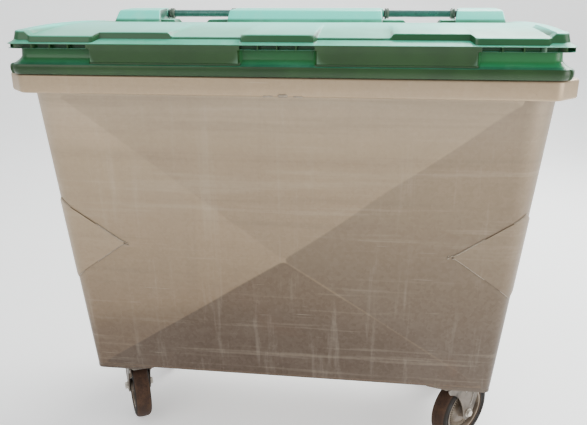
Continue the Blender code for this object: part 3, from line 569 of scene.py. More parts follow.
STEEL = galvanised("galvanised_sheet", "b09a7c", "614c38", 0.42, 0.35, 0.6, fold=1.0)
GUSSET_STEEL = galvanised("galvanised_gusset", "ab9679", "75604a", 0.42, 0.35, 0.35, bottom=0.1, fold=0.9)
RIM_STEEL = galvanised("galvanised_rim", "ac9577", "9d866a", 0.38, 0.40, 0.3)
FLOOR_STEEL = galvanised("galvanised_floor", "8d8172", "7c6f60", 0.5, 0.5, 0.9)
WELD = weld_metal("weld_bead")
ZINC = plated("zinc_plate", "56493b", "32281f", 0.46, 0.25)
BRIGHT = plated("bright_zinc", "b4aea2", "857b6d", 0.32, 0.75)
ROD_STEEL = plated("painted_rod", "447a72", "396760", 0.30, 0.2)
HINGE_STEEL = plated("painted_hinge", "35604f", "28483c", 0.45, 0.1, worn=0.25)
PLASTIC = moulded("lid_plastic")
TYRE = rubber("tyre_rubber", "35241b", "4e392c")
SIDEWALL = rubber("tyre_sidewall", "15110e", "231b16")
BUNG_RUBBER = rubber("bung_rubber", "2b2622", "3a332d")
HUB = hub_finish("wheel_centre")


# ---------------------------------------------------------------- body
def section(z):
    """Half width, half depth and corner radius at a height."""
    share = (z - LOWER["z"]) / (UPPER["z"] - LOWER["z"])
    half_width = mix(LOWER["half_width"], UPPER["half_width"], share)
    inset = mix(LOWER["inset"], UPPER["inset"], share)
    radius = mix(LOWER["radius"], UPPER["radius"], share)
    return half_width, HALF_DEPTH - inset, radius


def corner_point(z, angle, offset=0.0):
    """Point on the front right corner about the middle, from the front (0) to the side."""
    half_width, half_depth, radius = section(z)
    reach = radius + offset
    return Vector((half_width - radius + reach * math.sin(angle),
                   radius - half_depth - reach * math.cos(angle), z))


def crease_rise(across, z, soft=0.026):
    """Share of the bulge at a place: four flat facets with softly folded creases."""
    if not CREASE_BOTTOM < z < CREASE_TOP:
        return 0.0
    if z > CREASE_MIDDLE:
        up = (z - CREASE_MIDDLE) / (CREASE_TOP - CREASE_MIDDLE)
    else:
        up = (CREASE_MIDDLE - z) / (CREASE_MIDDLE - CREASE_BOTTOM)
    a = abs(across)
    gap = max(soft - abs(a - up), 0.0) / soft
    most = max(a, up) + gap * gap * soft / 4
    return max(1 - most, 0.0)


def panel_rows():
    """Heights of a panel's rows."""
    count = 108
    creased = [mix(CREASE_BOTTOM, CREASE_TOP, (k + 1) / count) for k in range(count)]
    return [PANEL_LOW.z, PANEL_LOW.z + 0.0025, CREASE_BOTTOM, *creased, RIM_BOTTOM + 0.004, PANEL_HIGH.z]


def sheet_wave(x, y, z):
    """How far sheet steel strays from flat at a place."""
    return 0.00025 * noise.noise(Vector((x, y, z)))


def face_surface():
    """Grid of the front panel: left corner, face, right corner."""
    arcs = 14
    wide = 140
    grid = []
    for z in panel_rows():
        row = []
        for k in range(arcs):
            p = corner_point(z, math.pi / 2 * (1 - k / arcs))
            row.append(Vector((-p.x, p.y, z)))
        edge = corner_point(z, 0.0)
        for k in range(wide + 1):
            across = -1 + 2 * k / wide
            x = edge.x * across
            wave = sheet_wave(x * 5, 0.3, z * 5) * min(1.0, 4 * (1 - across * across))
            row.append(Vector((x, edge.y - FACE_BULGE * crease_rise(across, z) + wave, z)))
        for k in range(1, arcs + 1):
            row.append(corner_point(z, math.pi / 2 * k / arcs))
        grid.append(row)
    return grid


def side_surface():
    """Grid of the right side panel, front to rear."""
    wide = 72
    grid = []
    for z in panel_rows():
        edge = corner_point(z, math.pi / 2)
        row = []
        for k in range(wide + 1):
            across = -1 + 2 * k / wide
            y = (-edge.y - 0.0006) * across
            wave = sheet_wave(2.1, y * 6, z * 5) * (1 - across * across)
            row.append(Vector((edge.x + SIDE_BULGE * crease_rise(across, z) - abs(wave), y, z)))
        grid.append(row)
    return grid


def grid_mesh(name, grid, flip=False):
    """Mesh of a grid of points, facing the way its rows wind."""
    count = len(grid[0])
    points = [p for row in grid for p in row]
    faces = []
    for level in range(len(grid) - 1):
        for step in range(count - 1):
            a = level * count + step
            quad = (a, a + 1, a + count + 1, a + count)
            faces.append(quad[::-1] if flip else quad)
    return mesh_of(name, points, faces, tidy=False)


def placed(rows, sign_x, sign_y):
    """Rows of points about the middle, mirrored by their signs and moved to the row frame."""
    return [[Vector((sign_x * p.x, MIDDLE_Y + sign_y * p.y, p.z)) for p in row] for row in rows]


def make_panels():
    """Four creased sheets, seam-welded at the side panels' edges."""
    face = face_surface()
    side = side_surface()
    for name, grid, sign in (("front_panel", face, 1), ("rear_panel", face, -1),
                             ("side_panel_right", side, 1), ("side_panel_left", side, -1)):
        sheet = piece("sheet_" + name, grid_mesh(name, placed(grid, sign, sign)), STEEL, "container",
                      [name], smooth=25)
        modify(sheet, "SOLIDIFY", thickness=SHEET, offset=-1)
    seams = Heap()
    heights = [mix(PANEL_LOW.z + 0.004, RIM_BOTTOM + 0.01, k / 24) for k in range(25)]
    line = [corner_point(z, math.pi / 2, -0.0004) for z in heights]
    for seed, (sign_x, sign_y) in enumerate(QUARTERS, 1):
        seams.add(bead(placed([line], sign_x, sign_y)[0], 0.0013, seed))
    weld_piece("seam_welds", seams)


def on_plane(plane, place, axis):
    """Coordinate along an axis of a plane through three points, at the other two coordinates."""
    point = plane[0]
    normal = (plane[1] - point).cross(plane[2] - point).normalized()
    rest = sum(normal[i] * (place[i] - point[i]) for i in range(3) if i != axis)
    return point[axis] - rest / normal[axis]


GUSSET_HEIGHT = 0.625
GUSSET_HALF = 0.110
GUSSET_TIP_X = 0.408
GUSSET_SHEET = 0.0025


def gusset_grid():
    """Grid of the front right gusset, two tips and rows across it, about the middle."""
    half_width, half_depth, radius = section(GUSSET_HEIGHT)
    flap = half_width - radius - GUSSET_TIP_X
    reach = flap + radius * math.pi / 4
    apex_width, apex_depth, _ = section(CREASE_MIDDLE)
    front, side = [(apex, corner_point(CREASE_BOTTOM, angle), corner_point(CREASE_TOP, angle))
                   for apex, angle in ((Vector((0, -apex_depth - FACE_BULGE, CREASE_MIDDLE)), 0.0),
                                       (Vector((apex_width + SIDE_BULGE, 0, CREASE_MIDDLE)), math.pi / 2))]
    gap = 0.0004
    flats = 10
    arcs = 14
    columns = [("front", k / flats, max(k / flats * flap, 0.002)) for k in range(flats)]
    for k in range(arcs + 1):
        angle = math.pi / 2 * k / arcs
        columns.append(("arc", angle, flap + radius * min(angle, math.pi / 2 - angle)))
    columns += [("side", k / flats, max((1 - k / flats) * flap, 0.002)) for k in range(1, flats + 1)]
    grid = []
    levels = 8
    for level in range(levels + 1):
        row = []
        for kind, value, travel in columns:
            half = GUSSET_HALF * travel / reach
            z = GUSSET_HEIGHT + half * (-1 + 2 * level / levels)
            if kind == "arc":
                row.append(corner_point(z, value, gap))
                continue
            edge = corner_point(z, 0.0 if kind == "front" else math.pi / 2)
            if kind == "front":
                x = mix(GUSSET_TIP_X, edge.x, value)
                row.append(Vector((x, on_plane(front, (x, 0, z), 1) - gap, z)))
            else:
                y = mix(edge.y, edge.y + flap, value)
                row.append(Vector((on_plane(side, (0, y, z), 0) + gap, y, z)))
        grid.append(row)
    return grid


def make_gussets():
    """Diamond plates folded round the corners, tacked on with welds and spatter."""
    base = gusset_grid()
    for name, side_x, side_y in (("front_right", 1, 1), ("front_left", -1, 1),
                                 ("rear_right", 1, -1), ("rear_left", -1, -1)):
        grid = placed(base, side_x, side_y)
        mesh = grid_mesh("gusset_" + name, grid, flip=side_x * side_y < 0)
        thing = piece("gusset_" + name, mesh, GUSSET_STEEL,
                      "container", ["corner_gusset_" + name], smooth=25)
        modify(thing, "SOLIDIFY", thickness=GUSSET_SHEET, offset=1)
        rounded(thing, 0.0009, 2, 50)
        welds = Heap()
        seed = 40 + 7 * side_x + 3 * side_y
        top = grid[-1]
        bottom = grid[0]
        count = len(top)
        # Six beads, each over a share of the upper or lower edge.
        for row, low, high, radius in ((top, 0.02, 0.20, 0.0024), (top, 0.36, 0.64, 0.0020),
                                       (top, 0.80, 0.98, 0.0024), (bottom, 0.02, 0.22, 0.0024),
                                       (bottom, 0.34, 0.66, 0.0020), (bottom, 0.78, 0.98, 0.0024)):
            line = row[int(low * (count - 1)):int(high * (count - 1)) + 1]
            welds.add(bead(line, radius, seed))
            seed += 1
        draw = random.Random(seed)
        for tip, away in ((top[0], -side_x), (top[-1], 0)):
            for _ in range(7):
                spread = Vector((away * draw.uniform(0.0, 0.012), 0, draw.uniform(-0.008, 0.008)))
                if away == 0:
                    spread = Vector((0, side_y * draw.uniform(0.0, 0.012), draw.uniform(-0.008, 0.008)))
                welds.add(blob(tip + spread, draw.uniform(0.0012, 0.0026), draw.randint(1, 90)))
        weld_piece("gusset_welds_" + name, welds)


# ---------------------------------------------------------------- rim
RIM_SHEET = 0.003
RIM_LIP = 0.014
RIM_OVERLAP = 0.0035


def rail_stations():
    """Outer and inner points of the front rail about the middle, with rounded bends."""
    z = PANEL_HIGH.z
    outer_path = []
    half_turn = math.pi / 8
    for bend, start, corner, to_centre in (
            (0.028, -90, (HALF_WIDTH - RIM_CHAMFER, -HALF_DEPTH), (-math.tan(half_turn), 1)),
            (0.018, -45, (HALF_WIDTH, RIM_CHAMFER - HALF_DEPTH), (-1, math.tan(half_turn)))):
        centre = [place + bend * way for place, way in zip(corner, to_centre)]
        outer_path += [Vector(p) for p in arc(bend, start, start + 45, 6, centre)]
    end = corner_point(z, math.pi / 2)
    outer_path.append(Vector((HALF_WIDTH, end.y)))
    lengths = [0.0]
    for a, b in zip(outer_path, outer_path[1:]):
        lengths.append(lengths[-1] + (b - a).length)
    right = []
    start = corner_point(z, 0.0, -RIM_OVERLAP)
    straight = 26
    for k in range(straight):
        x = mix(0.0, start.x, k / straight)
        right.append((Vector((x, -HALF_DEPTH)), Vector((x, start.y))))
    samples = [lengths[-1] * k / 18 for k in range(19)]
    samples = sorted(set(round(s, 6) for s in samples + lengths))
    for s in samples:
        k = min(bisect.bisect_right(lengths, s + 1e-6) - 1, len(lengths) - 2)
        share = min(max((s - lengths[k]) / (lengths[k + 1] - lengths[k]), 0.0), 1.0)
        outer = outer_path[k].lerp(outer_path[k + 1], share)
        inner = corner_point(z, math.pi / 2 * s / lengths[-1], -RIM_OVERLAP)
        right.append((outer, Vector((inner.x, inner.y))))
    left = [(Vector((-a.x, a.y)), Vector((-b.x, b.y))) for a, b in reversed(right[1:])]
    return left + right


def rail_profile(outer, inner):
    """Closed channel section with round bends, out to in over the top and back inside."""
    across = inner - outer
    reach = across.length
    way = across.normalized()
    bottom = RIM_BOTTOM - RIM_TOP
    bend = 0.0065
    fold = 0.005
    shape = arc(bend, 180, 90, 5, (bend, -bend))
    shape += [(reach, 0.0), (reach, -RIM_SHEET)]
    shape += arc(bend - RIM_SHEET, 90, 180, 4, (bend, -bend))
    shape += arc(fold - RIM_SHEET, 180, 270, 4, (fold, bottom + fold))
    shape += [(RIM_LIP, bottom + RIM_SHEET), (RIM_LIP, bottom)]
    shape += arc(fold, 270, 180, 4, (fold, bottom + fold))
    return [Vector((*(outer + way * along), RIM_TOP + lift)) for along, lift in shape]


def make_rim():
    """Four rails of one channel section, and their welds."""
    stations = rail_stations()
    rail = [rail_profile(a, b) for a, b in stations]
    for ring in rail:
        for p in ring:
            p.y += 0.0004 * noise.noise(Vector((p.x * 7, 4.0, 0)))
    end_outer, end_inner = stations[-1]
    first = end_outer.y + 0.0003
    steps = 16
    side = []
    for k in range(steps + 1):
        y = mix(first, -first, k / steps)
        side.append(rail_profile(Vector((end_outer.x, y)), Vector((end_inner.x, y))))
    for name, rings, sign in (("rim_front", rail, 1), ("rim_rear", rail, -1),
                              ("rim_right", side, 1), ("rim_left", side, -1)):
        mesh = mesh_of(name, *loft(placed(rings, sign, sign)))
        piece("channel_" + name, mesh, RIM_STEEL, "container", [name], 30)
    welds = Heap()
    # A butt weld across the top and down the outside of each end of the side rails.
    across = ((0.020, RIM_TOP - 0.0006), (0.005, RIM_TOP - 0.0012), (0.0024, RIM_TOP - 0.006),
              (0.0016, RIM_BOTTOM + 0.004))
    for seed, (side_x, side_y) in enumerate(QUARTERS, 90):
        line = [(side_x * (end_outer.x - inset), MIDDLE_Y + side_y * end_outer.y, z) for inset, z in across]
        welds.add(bead(line, 0.0011, seed))
    # Three short beads on the front lip.
    lip_y = MIDDLE_Y - HALF_DEPTH + 0.0015
    for seed, radius, start_x, start_rise, end_x, end_rise in (
            (121, 0.0022, -0.033, 0.001, -0.010, 0.0022), (122, 0.0040, 0.000, 0.003, 0.022, 0.003),
            (123, 0.0024, 0.034, 0.002, 0.054, 0.001)):
        welds.add(bead([(start_x, lip_y, RIM_BOTTOM + start_rise), (end_x, lip_y, RIM_BOTTOM + end_rise)],
                       radius, seed))
    weld_piece("rim_welds", welds)


# ---------------------------------------------------------------- lid
# Lengths along the lid are measured from its flange's front edge, those across from its middle.
LID_X = 0.607
LID_LENGTH = 0.662
CORNER = 0.027
WALL = 0.0035
LINE_GAP = 0.004
# The open windows of the front: the middle one and those at both ends.
WINDOW_IN = 0.076
WINDOW_OUT = 0.084
END_IN = 0.410
END_OUT = 0.418
POCKET = 0.013
RIB_HALF = 0.0015
RIB_PITCH = 0.0405
# The crown's side ridges, and where its front zones start to fade and are gone.
RIDGE_X = 0.556
FOOT = 0.0375
FADE = 0.230

# Places along the front and along each side where ribs stand under the flange.
FRONT_RIBS = [k * RIB_PITCH for k in range(-2, 3)]
FRONT_RIBS += [sign * (0.4155 + k * 0.0420) for sign in (-1, 1) for k in range(5)]
SIDE_RIBS = [0.030 + 0.0422 * k for k in range(15)]


def lattice(ribs, edges, low, high, step):
    """Grid lines from low to high: rib sides, given edges, fill-ins and rounded corners."""
    lines = {low + CORNER, high - CORNER, *edges}
    for rib in ribs:
        for off in (-RIB_HALF - 0.0003, -RIB_HALF, RIB_HALF, RIB_HALF + 0.0003):
            lines.add(round(rib + off, 5))
    for k in range(-50, 51):
        place = k * step
        if low + CORNER < place < high - CORNER and min(abs(place - o) for o in lines) > LINE_GAP:
            lines.add(round(place, 5))
    for k in range(6):
        lines.add(round(low + CORNER * k / 6, 5))
        lines.add(round(high - CORNER * k / 6, 5))
    return sorted(lines)


ZONE_EDGES = (WINDOW_IN, 0.080, WINDOW_OUT, 0.232, 0.236, 0.240, 0.244, 0.396, 0.400, 0.404, END_IN,
              0.414, END_OUT, 0.551, RIDGE_X, 0.561)
XS = lattice(FRONT_RIBS, [sign * edge for edge in ZONE_EDGES for sign in (-1, 1)], -LID_X, LID_X, 0.0136)
YS = lattice(SIDE_RIBS, (), 0.0, LID_LENGTH, 0.0142)
# Where one zone of the lid's front gives way to the next, in distance from the middle.
ZONES = (("low", 0.0765, 0.0835), ("pad", 0.2335, 0.2425), ("end", 0.3960, 0.4060))
KNOB_ZONE = ("knob", 0.5500, 0.5600)
# Height of the front over the rim, by zone.
TARGET = {"middle": 0.0892, "low": 0.0808, "pad": 0.0897, "end": 0.0853}
BLOCK_FOOT = 0.528


def dome(y):
    """Height of the lid's crown over the rim; y is from the flange's front edge."""
    return 0.0955 - 0.165 * (min(y, BLOCK_FOOT) - 0.270) ** 2 - 0.041 * max(y - BLOCK_FOOT, 0.0)


def zone_height(x):
    """Height of the lid's front at a distance across."""
    value = TARGET["middle"]
    for kind, start, end in ZONES:
        value = mix(value, TARGET[kind], blend(start, end, abs(x)))
    return value


def lid_height(x, y):
    """Height of the lid's top over the rim."""
    fade = 1 - ramp(FOOT, FOOT + FADE, y)
    base = dome(y) + (zone_height(x) - dome(FOOT)) * fade
    ridge = dome(y) + 0.0038 + 0.0042 * fade
    return mix(base, ridge, blend(RIDGE_X - 0.004, RIDGE_X + 0.004, abs(x)))


# (height, inset) rows of the border from its lower edge up: the skirt, then two ways to go on,
# with an open window under the flange or flush.
LOWER_SKIRT = ((0.0004, 0.0070), (0.0010, 0.0050), (0.0035, 0.0034), (0.0080, 0.0023),
               (0.0140, 0.0019), (0.0190, 0.0023))
LOWER_WINDOW = LOWER_SKIRT + (
    (0.0218, 0.0034), (0.0232, 0.0052), (0.0238, 0.0072), (0.0262, 0.0105),
    (0.0300, 0.0148), (0.0345, 0.0186), (0.0378, 0.0203), (0.0460, 0.0209), (0.0545, 0.0214),
    (0.0556, 0.0205), (0.0561, 0.0120), (0.0562, 0.0030), (0.0564, 0.0018), (0.0568, 0.0014),
    (0.0570, 0.0016), (0.0571, 0.0014), (0.0653, 0.0014), (0.0654, 0.0012), (0.0662, 0.0003),
    (0.0669, 0.0004), (0.0675, 0.0016))
LOWER_FLUSH = LOWER_SKIRT + (
    (0.0216, 0.0030), (0.0226, 0.0046), (0.0234, 0.0062), (0.0256, 0.0064),
    (0.0270, 0.0060), (0.0278, 0.0040), (0.0290, 0.0031), (0.0400, 0.0028), (0.0500, 0.0024),
    (0.0535, 0.0021), (0.0550, 0.0019), (0.0562, 0.0018), (0.0575, 0.0016), (0.0584, 0.0015),
    (0.0590, 0.0014), (0.0600, 0.0013), (0.0640, 0.0008), (0.0650, 0.0006), (0.0660, 0.0003),
    (0.0670, 0.0004), (0.0678, 0.0016))
POCKET_ROWS = (21, 22)
BOWED_ROWS = 8
LOWER_RADIUS = 0.027
# The border above the flange by zone: foot and fillet as (height, inset), then four insets on
# the way up to the crown.
TOP_KINDS = {
    "pad": ((0.0743, 0.0300), (0.0756, 0.0323), (0.0343, 0.0351, 0.0364, 0.0385)),
    "low": ((0.0752, 0.0305), (0.0763, 0.0318), (0.0329, 0.0335, 0.0346, 0.0368)),
    "end": ((0.0680, 0.0052), (0.0690, 0.0074), (0.0098, 0.0110, 0.0126, 0.0150)),
    "middle": ((0.0702, 0.0090), (0.0717, 0.0112), (0.0134, 0.0146, 0.0160, 0.0185)),
    "knob": ((0.0725, 0.0090), (0.0750, 0.0115), (0.0140, 0.0155, 0.0170, 0.0200)),
    "side": ((0.0720, 0.0140), (0.0745, 0.0170), (0.0200, 0.0220, 0.0235, 0.0262)),
    "rear": ((0.0700, 0.0060), (0.0712, 0.0085), (0.0110, 0.0125, 0.0145, 0.0180)),
}
TOP_RADII = (0.0260, 0.0245, 0.0230, 0.0220, 0.0205, 0.0180)


def edge_at(y):
    """Which edge a nominal place on the border is on."""
    if y == YS[0]:
        return "front"
    if y == YS[-1]:
        return "rear"
    return "side"


def lower_weights(x, y):
    """Share of the window shape at a place on the edge, and if a pocket is open there."""
    edge = edge_at(y)
    if edge == "front":
        a = abs(x)
        window = max(1 - ramp(WINDOW_IN, WINDOW_OUT, a), ramp(END_IN, END_OUT, a))
        near = min(abs(x - rib) for rib in FRONT_RIBS)
        hollow = a < 0.0795 or a > 0.4145
    else:
        window = 1.0
        near = min(abs(y - rib) for rib in SIDE_RIBS)
        hollow = edge == "side" and y < LID_LENGTH - 0.04
    return window, hollow and near > RIB_HALF + 0.0002


def top_parts(x, y):
    """Foot, fillet and riser insets at a place on the edge."""
    edge = edge_at(y)
    if edge == "front":
        base = TOP_KINDS["middle"]
        for kind, start, end in (*ZONES, KNOB_ZONE):
            base = mix_parts(base, TOP_KINDS[kind], blend(start, end, abs(x)))
        return base
    if edge == "rear":
        return TOP_KINDS["rear"]
    base = mix_parts(TOP_KINDS["knob"], TOP_KINDS["side"], blend(0.0, CORNER * 1.6, y))
    return mix_parts(base, TOP_KINDS["rear"], blend(LID_LENGTH - CORNER * 1.6, LID_LENGTH, y))


def mix_parts(a, b, share):
    """Mix two sets of insets number by number."""
    return tuple(tuple(mix(p, q, share) for p, q in zip(u, v)) for u, v in zip(a, b))


def edge_place(x, y, inset, radius):
    """Nominal place on the edge moved in by an inset, with a rounded corner."""
    wide = LID_X - inset
    front = inset
    rear = LID_LENGTH - inset
    sign = -1 if x < 0 else 1
    a = abs(x)
    near_x = a > LID_X - CORNER + 1e-6
    near_front = y < CORNER - 1e-6
    near_rear = y > LID_LENGTH - CORNER + 1e-6
    if near_x and (near_front or near_rear):
        if y in (YS[0], YS[-1]):
            turn = math.pi / 4 * (a - LID_X + CORNER) / CORNER
        else:
            depth = y if near_front else LID_LENGTH - y
            turn = math.pi / 4 * (1 + depth / CORNER)
        px = wide - radius + radius * math.sin(turn)
        lift = radius - radius * math.cos(turn)
        return sign * px, (front + lift) if near_front else (rear - lift)
    if y in (YS[0], YS[-1]):
        limit = LID_X - CORNER
        knee = 0.50
        px = a if a < knee else mix(knee, wide - radius, (a - knee) / (limit - knee))
        return sign * px, front if y == YS[0] else rear
    knee = 0.10
    py = y
    if y < knee:
        py = mix(front + radius, knee, (y - CORNER) / (knee - CORNER))
    elif y > LID_LENGTH - knee:
        py = mix(LID_LENGTH - knee, rear - radius,
                 (y - LID_LENGTH + knee) / (knee - CORNER))
    return sign * wide, py


def perimeter():
    """Nominal places round the lid's border, from the front left corner."""
    front = [(x, YS[0]) for x in XS[:-1]]
    right = [(XS[-1], y) for y in YS[:-1]]
    rear = [(x, YS[-1]) for x in reversed(XS[1:])]
    left = [(XS[0], y) for y in reversed(YS[1:])]
    return front + right + rear + left


def lid_rings():
    """Rings of the lid's outside from its lower edge up to the crown's border."""
    places = perimeter()
    rings = []
    for row, (window_row, flush_row) in enumerate(zip(LOWER_WINDOW, LOWER_FLUSH)):
        ring = []
        for x, y in places:
            window, pocket = lower_weights(x, y)
            z = mix(flush_row[0], window_row[0], window)
            inset = mix(flush_row[1], window_row[1], window)
            if row in POCKET_ROWS and pocket:
                inset += POCKET
            bow = 0.0030 if row < BOWED_ROWS and edge_at(y) == "side" else 0.0
            radius = LOWER_RADIUS + (0.004 if row < BOWED_ROWS else 0.0)
            px, py = edge_place(x, y, inset - bow, radius)
            ring.append((px, py, z))
        rings.append(ring)
    for step in range(6):
        ring = []
        for x, y in places:
            foot, fillet, insets = top_parts(x, y)
            if step < 2:
                z, inset = (foot, fillet)[step]
                px, py = edge_place(x, y, inset, TOP_RADII[step])
            else:
                inset = insets[step - 2]
                px, py = edge_place(x, y, inset, TOP_RADII[step])
                crown = lid_height(px, py)
                z = (mix(fillet[0], crown, 0.55), crown - 0.0017, crown - 0.0004, crown)[step - 2]
            ring.append((px, py, z))
        rings.append(ring)
    return rings


def coons(ring):
    """Fill a ring with a grid: {(i, j): (x, y)}."""
    wide = len(XS)
    deep = len(YS)
    at = {}
    for k, (x, y) in enumerate(perimeter()):
        at[(XS.index(x), YS.index(y))] = Vector((ring[k][0], ring[k][1]))
    for i in range(1, wide - 1):
        u = (XS[i] + LID_X) / (2 * LID_X)
        for j in range(1, deep - 1):
            v = YS[j] / LID_LENGTH
            p = at[(i, 0)] * (1 - v) + at[(i, deep - 1)] * v
            p = p + at[(0, j)] * (1 - u) + at[(wide - 1, j)] * u
            p = p - at[(0, 0)] * ((1 - u) * (1 - v)) - at[(wide - 1, 0)] * (u * (1 - v))
            p = p - at[(0, deep - 1)] * ((1 - u) * v) - at[(wide - 1, deep - 1)] * (u * v)
            at[(i, j)] = p
    return at


# (height, inset) rows of the lid's inside, from its lower edge up.
INNER = ((0.0004, 0.0100), (0.0235, 0.0105), (0.0300, 0.0255), (0.0350, 0.0275), (0.0620, 0.0285))


def lid_mesh():
    """Closed lid: outside rings and crown, inside rings and ceiling."""
    rings = lid_rings()
    count = len(rings[0])
    points = []

    def world(x, y, z):
        return Vector((x, LID_FRONT + y, RIM_TOP + z))

    def band(start, levels):
        quads = []
        for a in range(start, start + levels * count, count):
            for step in range(count):
                after = (step + 1) % count
                quads.append((a + step, a + after, a + count + after, a + count + step))
        return quads

    for ring in rings:
        points += [world(*p) for p in ring]
    faces = band(0, len(rings) - 1)

    def crown(start, ring, drop):
        places = coons(ring)
        ids = {}
        for k, (x, y) in enumerate(perimeter()):
            ids[(XS.index(x), YS.index(y))] = start + k
        for i in range(1, len(XS) - 1):
            for j in range(1, len(YS) - 1):
                p = places[(i, j)]
                ids[(i, j)] = len(points)
                wave = 0.0004 * noise.noise(Vector((p.x * 9, p.y * 9, 1.0)))
                points.append(world(p.x, p.y, lid_height(p.x, p.y) - drop + wave))
        quads = []
        for i in range(len(XS) - 1):
            for j in range(len(YS) - 1):
                quads.append((ids[(i, j)], ids[(i + 1, j)], ids[(i + 1, j + 1)], ids[(i, j + 1)]))
        return quads

    faces += crown((len(rings) - 1) * count, rings[-1], 0.0)
    base = len(points)
    inner = []
    for z, inset in INNER:
        inner.append([(*edge_place(x, y, inset, 0.024 if z < 0.024 else 0.014), z)
                      for x, y in perimeter()])
    ring = []
    for x, y in perimeter():
        px, py = edge_place(x, y, 0.042, 0.010)
        ring.append((px, py, lid_height(px, py) - WALL))
    inner.append(ring)
    for one in inner:
        points += [world(*p) for p in one]
    faces += [quad[::-1] for quad in band(base, len(inner) - 1)]
    faces += [quad[::-1] for quad in crown(base + (len(inner) - 1) * count, inner[-1], WALL)]
    for step in range(count):
        after = (step + 1) % count
        faces.append((base + step, base + after, after, step))
    return mesh_of("lid_shell", points, faces, tidy=False)


# The hinge blocks at the lid's rear and the two gaps between them.
BLOCK_REAR = HINGE.y + 0.022
GAP_INNER = 0.224
GAP_OUTER = 0.421
GAP_FLARE = 0.029
BLOCK_END = 0.562
BLOCK_BASE = RIM_TOP + 0.0815
BLOCKS = (("left", -BLOCK_END, -GAP_OUTER), ("middle", -GAP_INNER, GAP_INNER),
          ("right", GAP_OUTER, BLOCK_END))
# Per block: drafts of its left and right ends, and how far each one flares to the rear.
BLOCK_ENDS = {"left": (0.009, 0.003, 0.0, GAP_FLARE), "middle": (0.004, 0.004, 0.0, 0.0),
              "right": (0.003, 0.009, GAP_FLARE, 0.0)}


def block_outline():
    """(y, z) outline of a hinge block from its rear foot over the top to its front foot."""
    front = LID_FRONT + BLOCK_FOOT
    rear = BLOCK_REAR - 0.0002
    points = [(rear, 0.084), (rear, 0.109)]
    for k in range(1, 6):
        a = math.pi / 2 * k / 5
        points.append((rear - 0.012 * (1 - math.cos(a)), 0.109 + 0.0115 * math.sin(a)))
    points += [(rear - 0.060, 0.1212)]
    points += [(front + ahead, height) for ahead, height in
               ((0.048, 0.1196), (0.036, 0.1183), (0.029, 0.1145), (0.006, 0.0890), (0.0015, 0.0850),
                (-0.006, 0.0815))]
    return [(y, RIM_TOP + height) for y, height in points]


def make_block(label, low, high):
    """Open-bottomed moulded block with drafted, rounded ends."""
    outline = block_outline()
    tall = 0.040
    draft_low, draft_high, flare_low, flare_high = BLOCK_ENDS[label]
    front = LID_FRONT + BLOCK_FOOT
    steps = 24
    rings = []
    for k in range(steps + 1):
        ring = []
        for y, z in outline:
            rise = max(z - BLOCK_BASE, 0.0) / tall
            back = max(y - front, 0.0) / (BLOCK_REAR - front)
            start = low + draft_low * rise + flare_low * back
            end = high - draft_high * rise - flare_high * back
            ring.append(Vector((mix(start, end, k / steps), y, z)))
        rings.append(ring)
    points = [p for ring in rings for p in ring]
    count = len(outline)
    faces = []
    for k in range(steps):
        for i in range(count - 1):
            a = k * count + i
            faces.append((a, a + 1, a + count + 1, a + count))
    faces.append(tuple(range(count))[::-1])
    faces.append(tuple(range(steps * count, (steps + 1) * count)))
    name = "hinge_block_" + label
    mesh = mesh_of(name, points, faces)
    shape = bmesh.new()
    shape.from_mesh(mesh)
    side_faces = [f for f in shape.faces if abs(f.normal.x) > 0.9]
    edges = {e for f in side_faces for e in f.edges if len(e.link_faces) == 2}
    bmesh.ops.bevel(shape, geom=list(edges), offset=0.0045, segments=4, profile=0.5, affect="EDGES",
                    clamp_overlap=True)
    up = sum(f.calc_area() * f.normal.z for f in shape.faces)
    if up < 0:
        bmesh.ops.reverse_faces(shape, faces=shape.faces)
    shape.to_mesh(mesh)
    shape.free()
    block = lid_piece(name, mesh, 40)
    modify(block, "SOLIDIFY", thickness=WALL, offset=-1, use_even_offset=True)


# Which of an outline's two numbers, or the extrusion (2), goes to each axis.
PLATE_ORDER = {"x": (2, 0, 1), "y": (0, 2, 1), "z": (0, 1, 2)}


def plate_shape(outline, low, high, along, shift=(0.0, 0.0, 0.0)):
    """Extrude a 2-D outline along an axis and shift it."""
    order = PLATE_ORDER[along]
    return loft([[Vector([(u, v, w)[source] + move for source, move in zip(order, shift)])
                  for u, v in outline] for w in (low, high)])


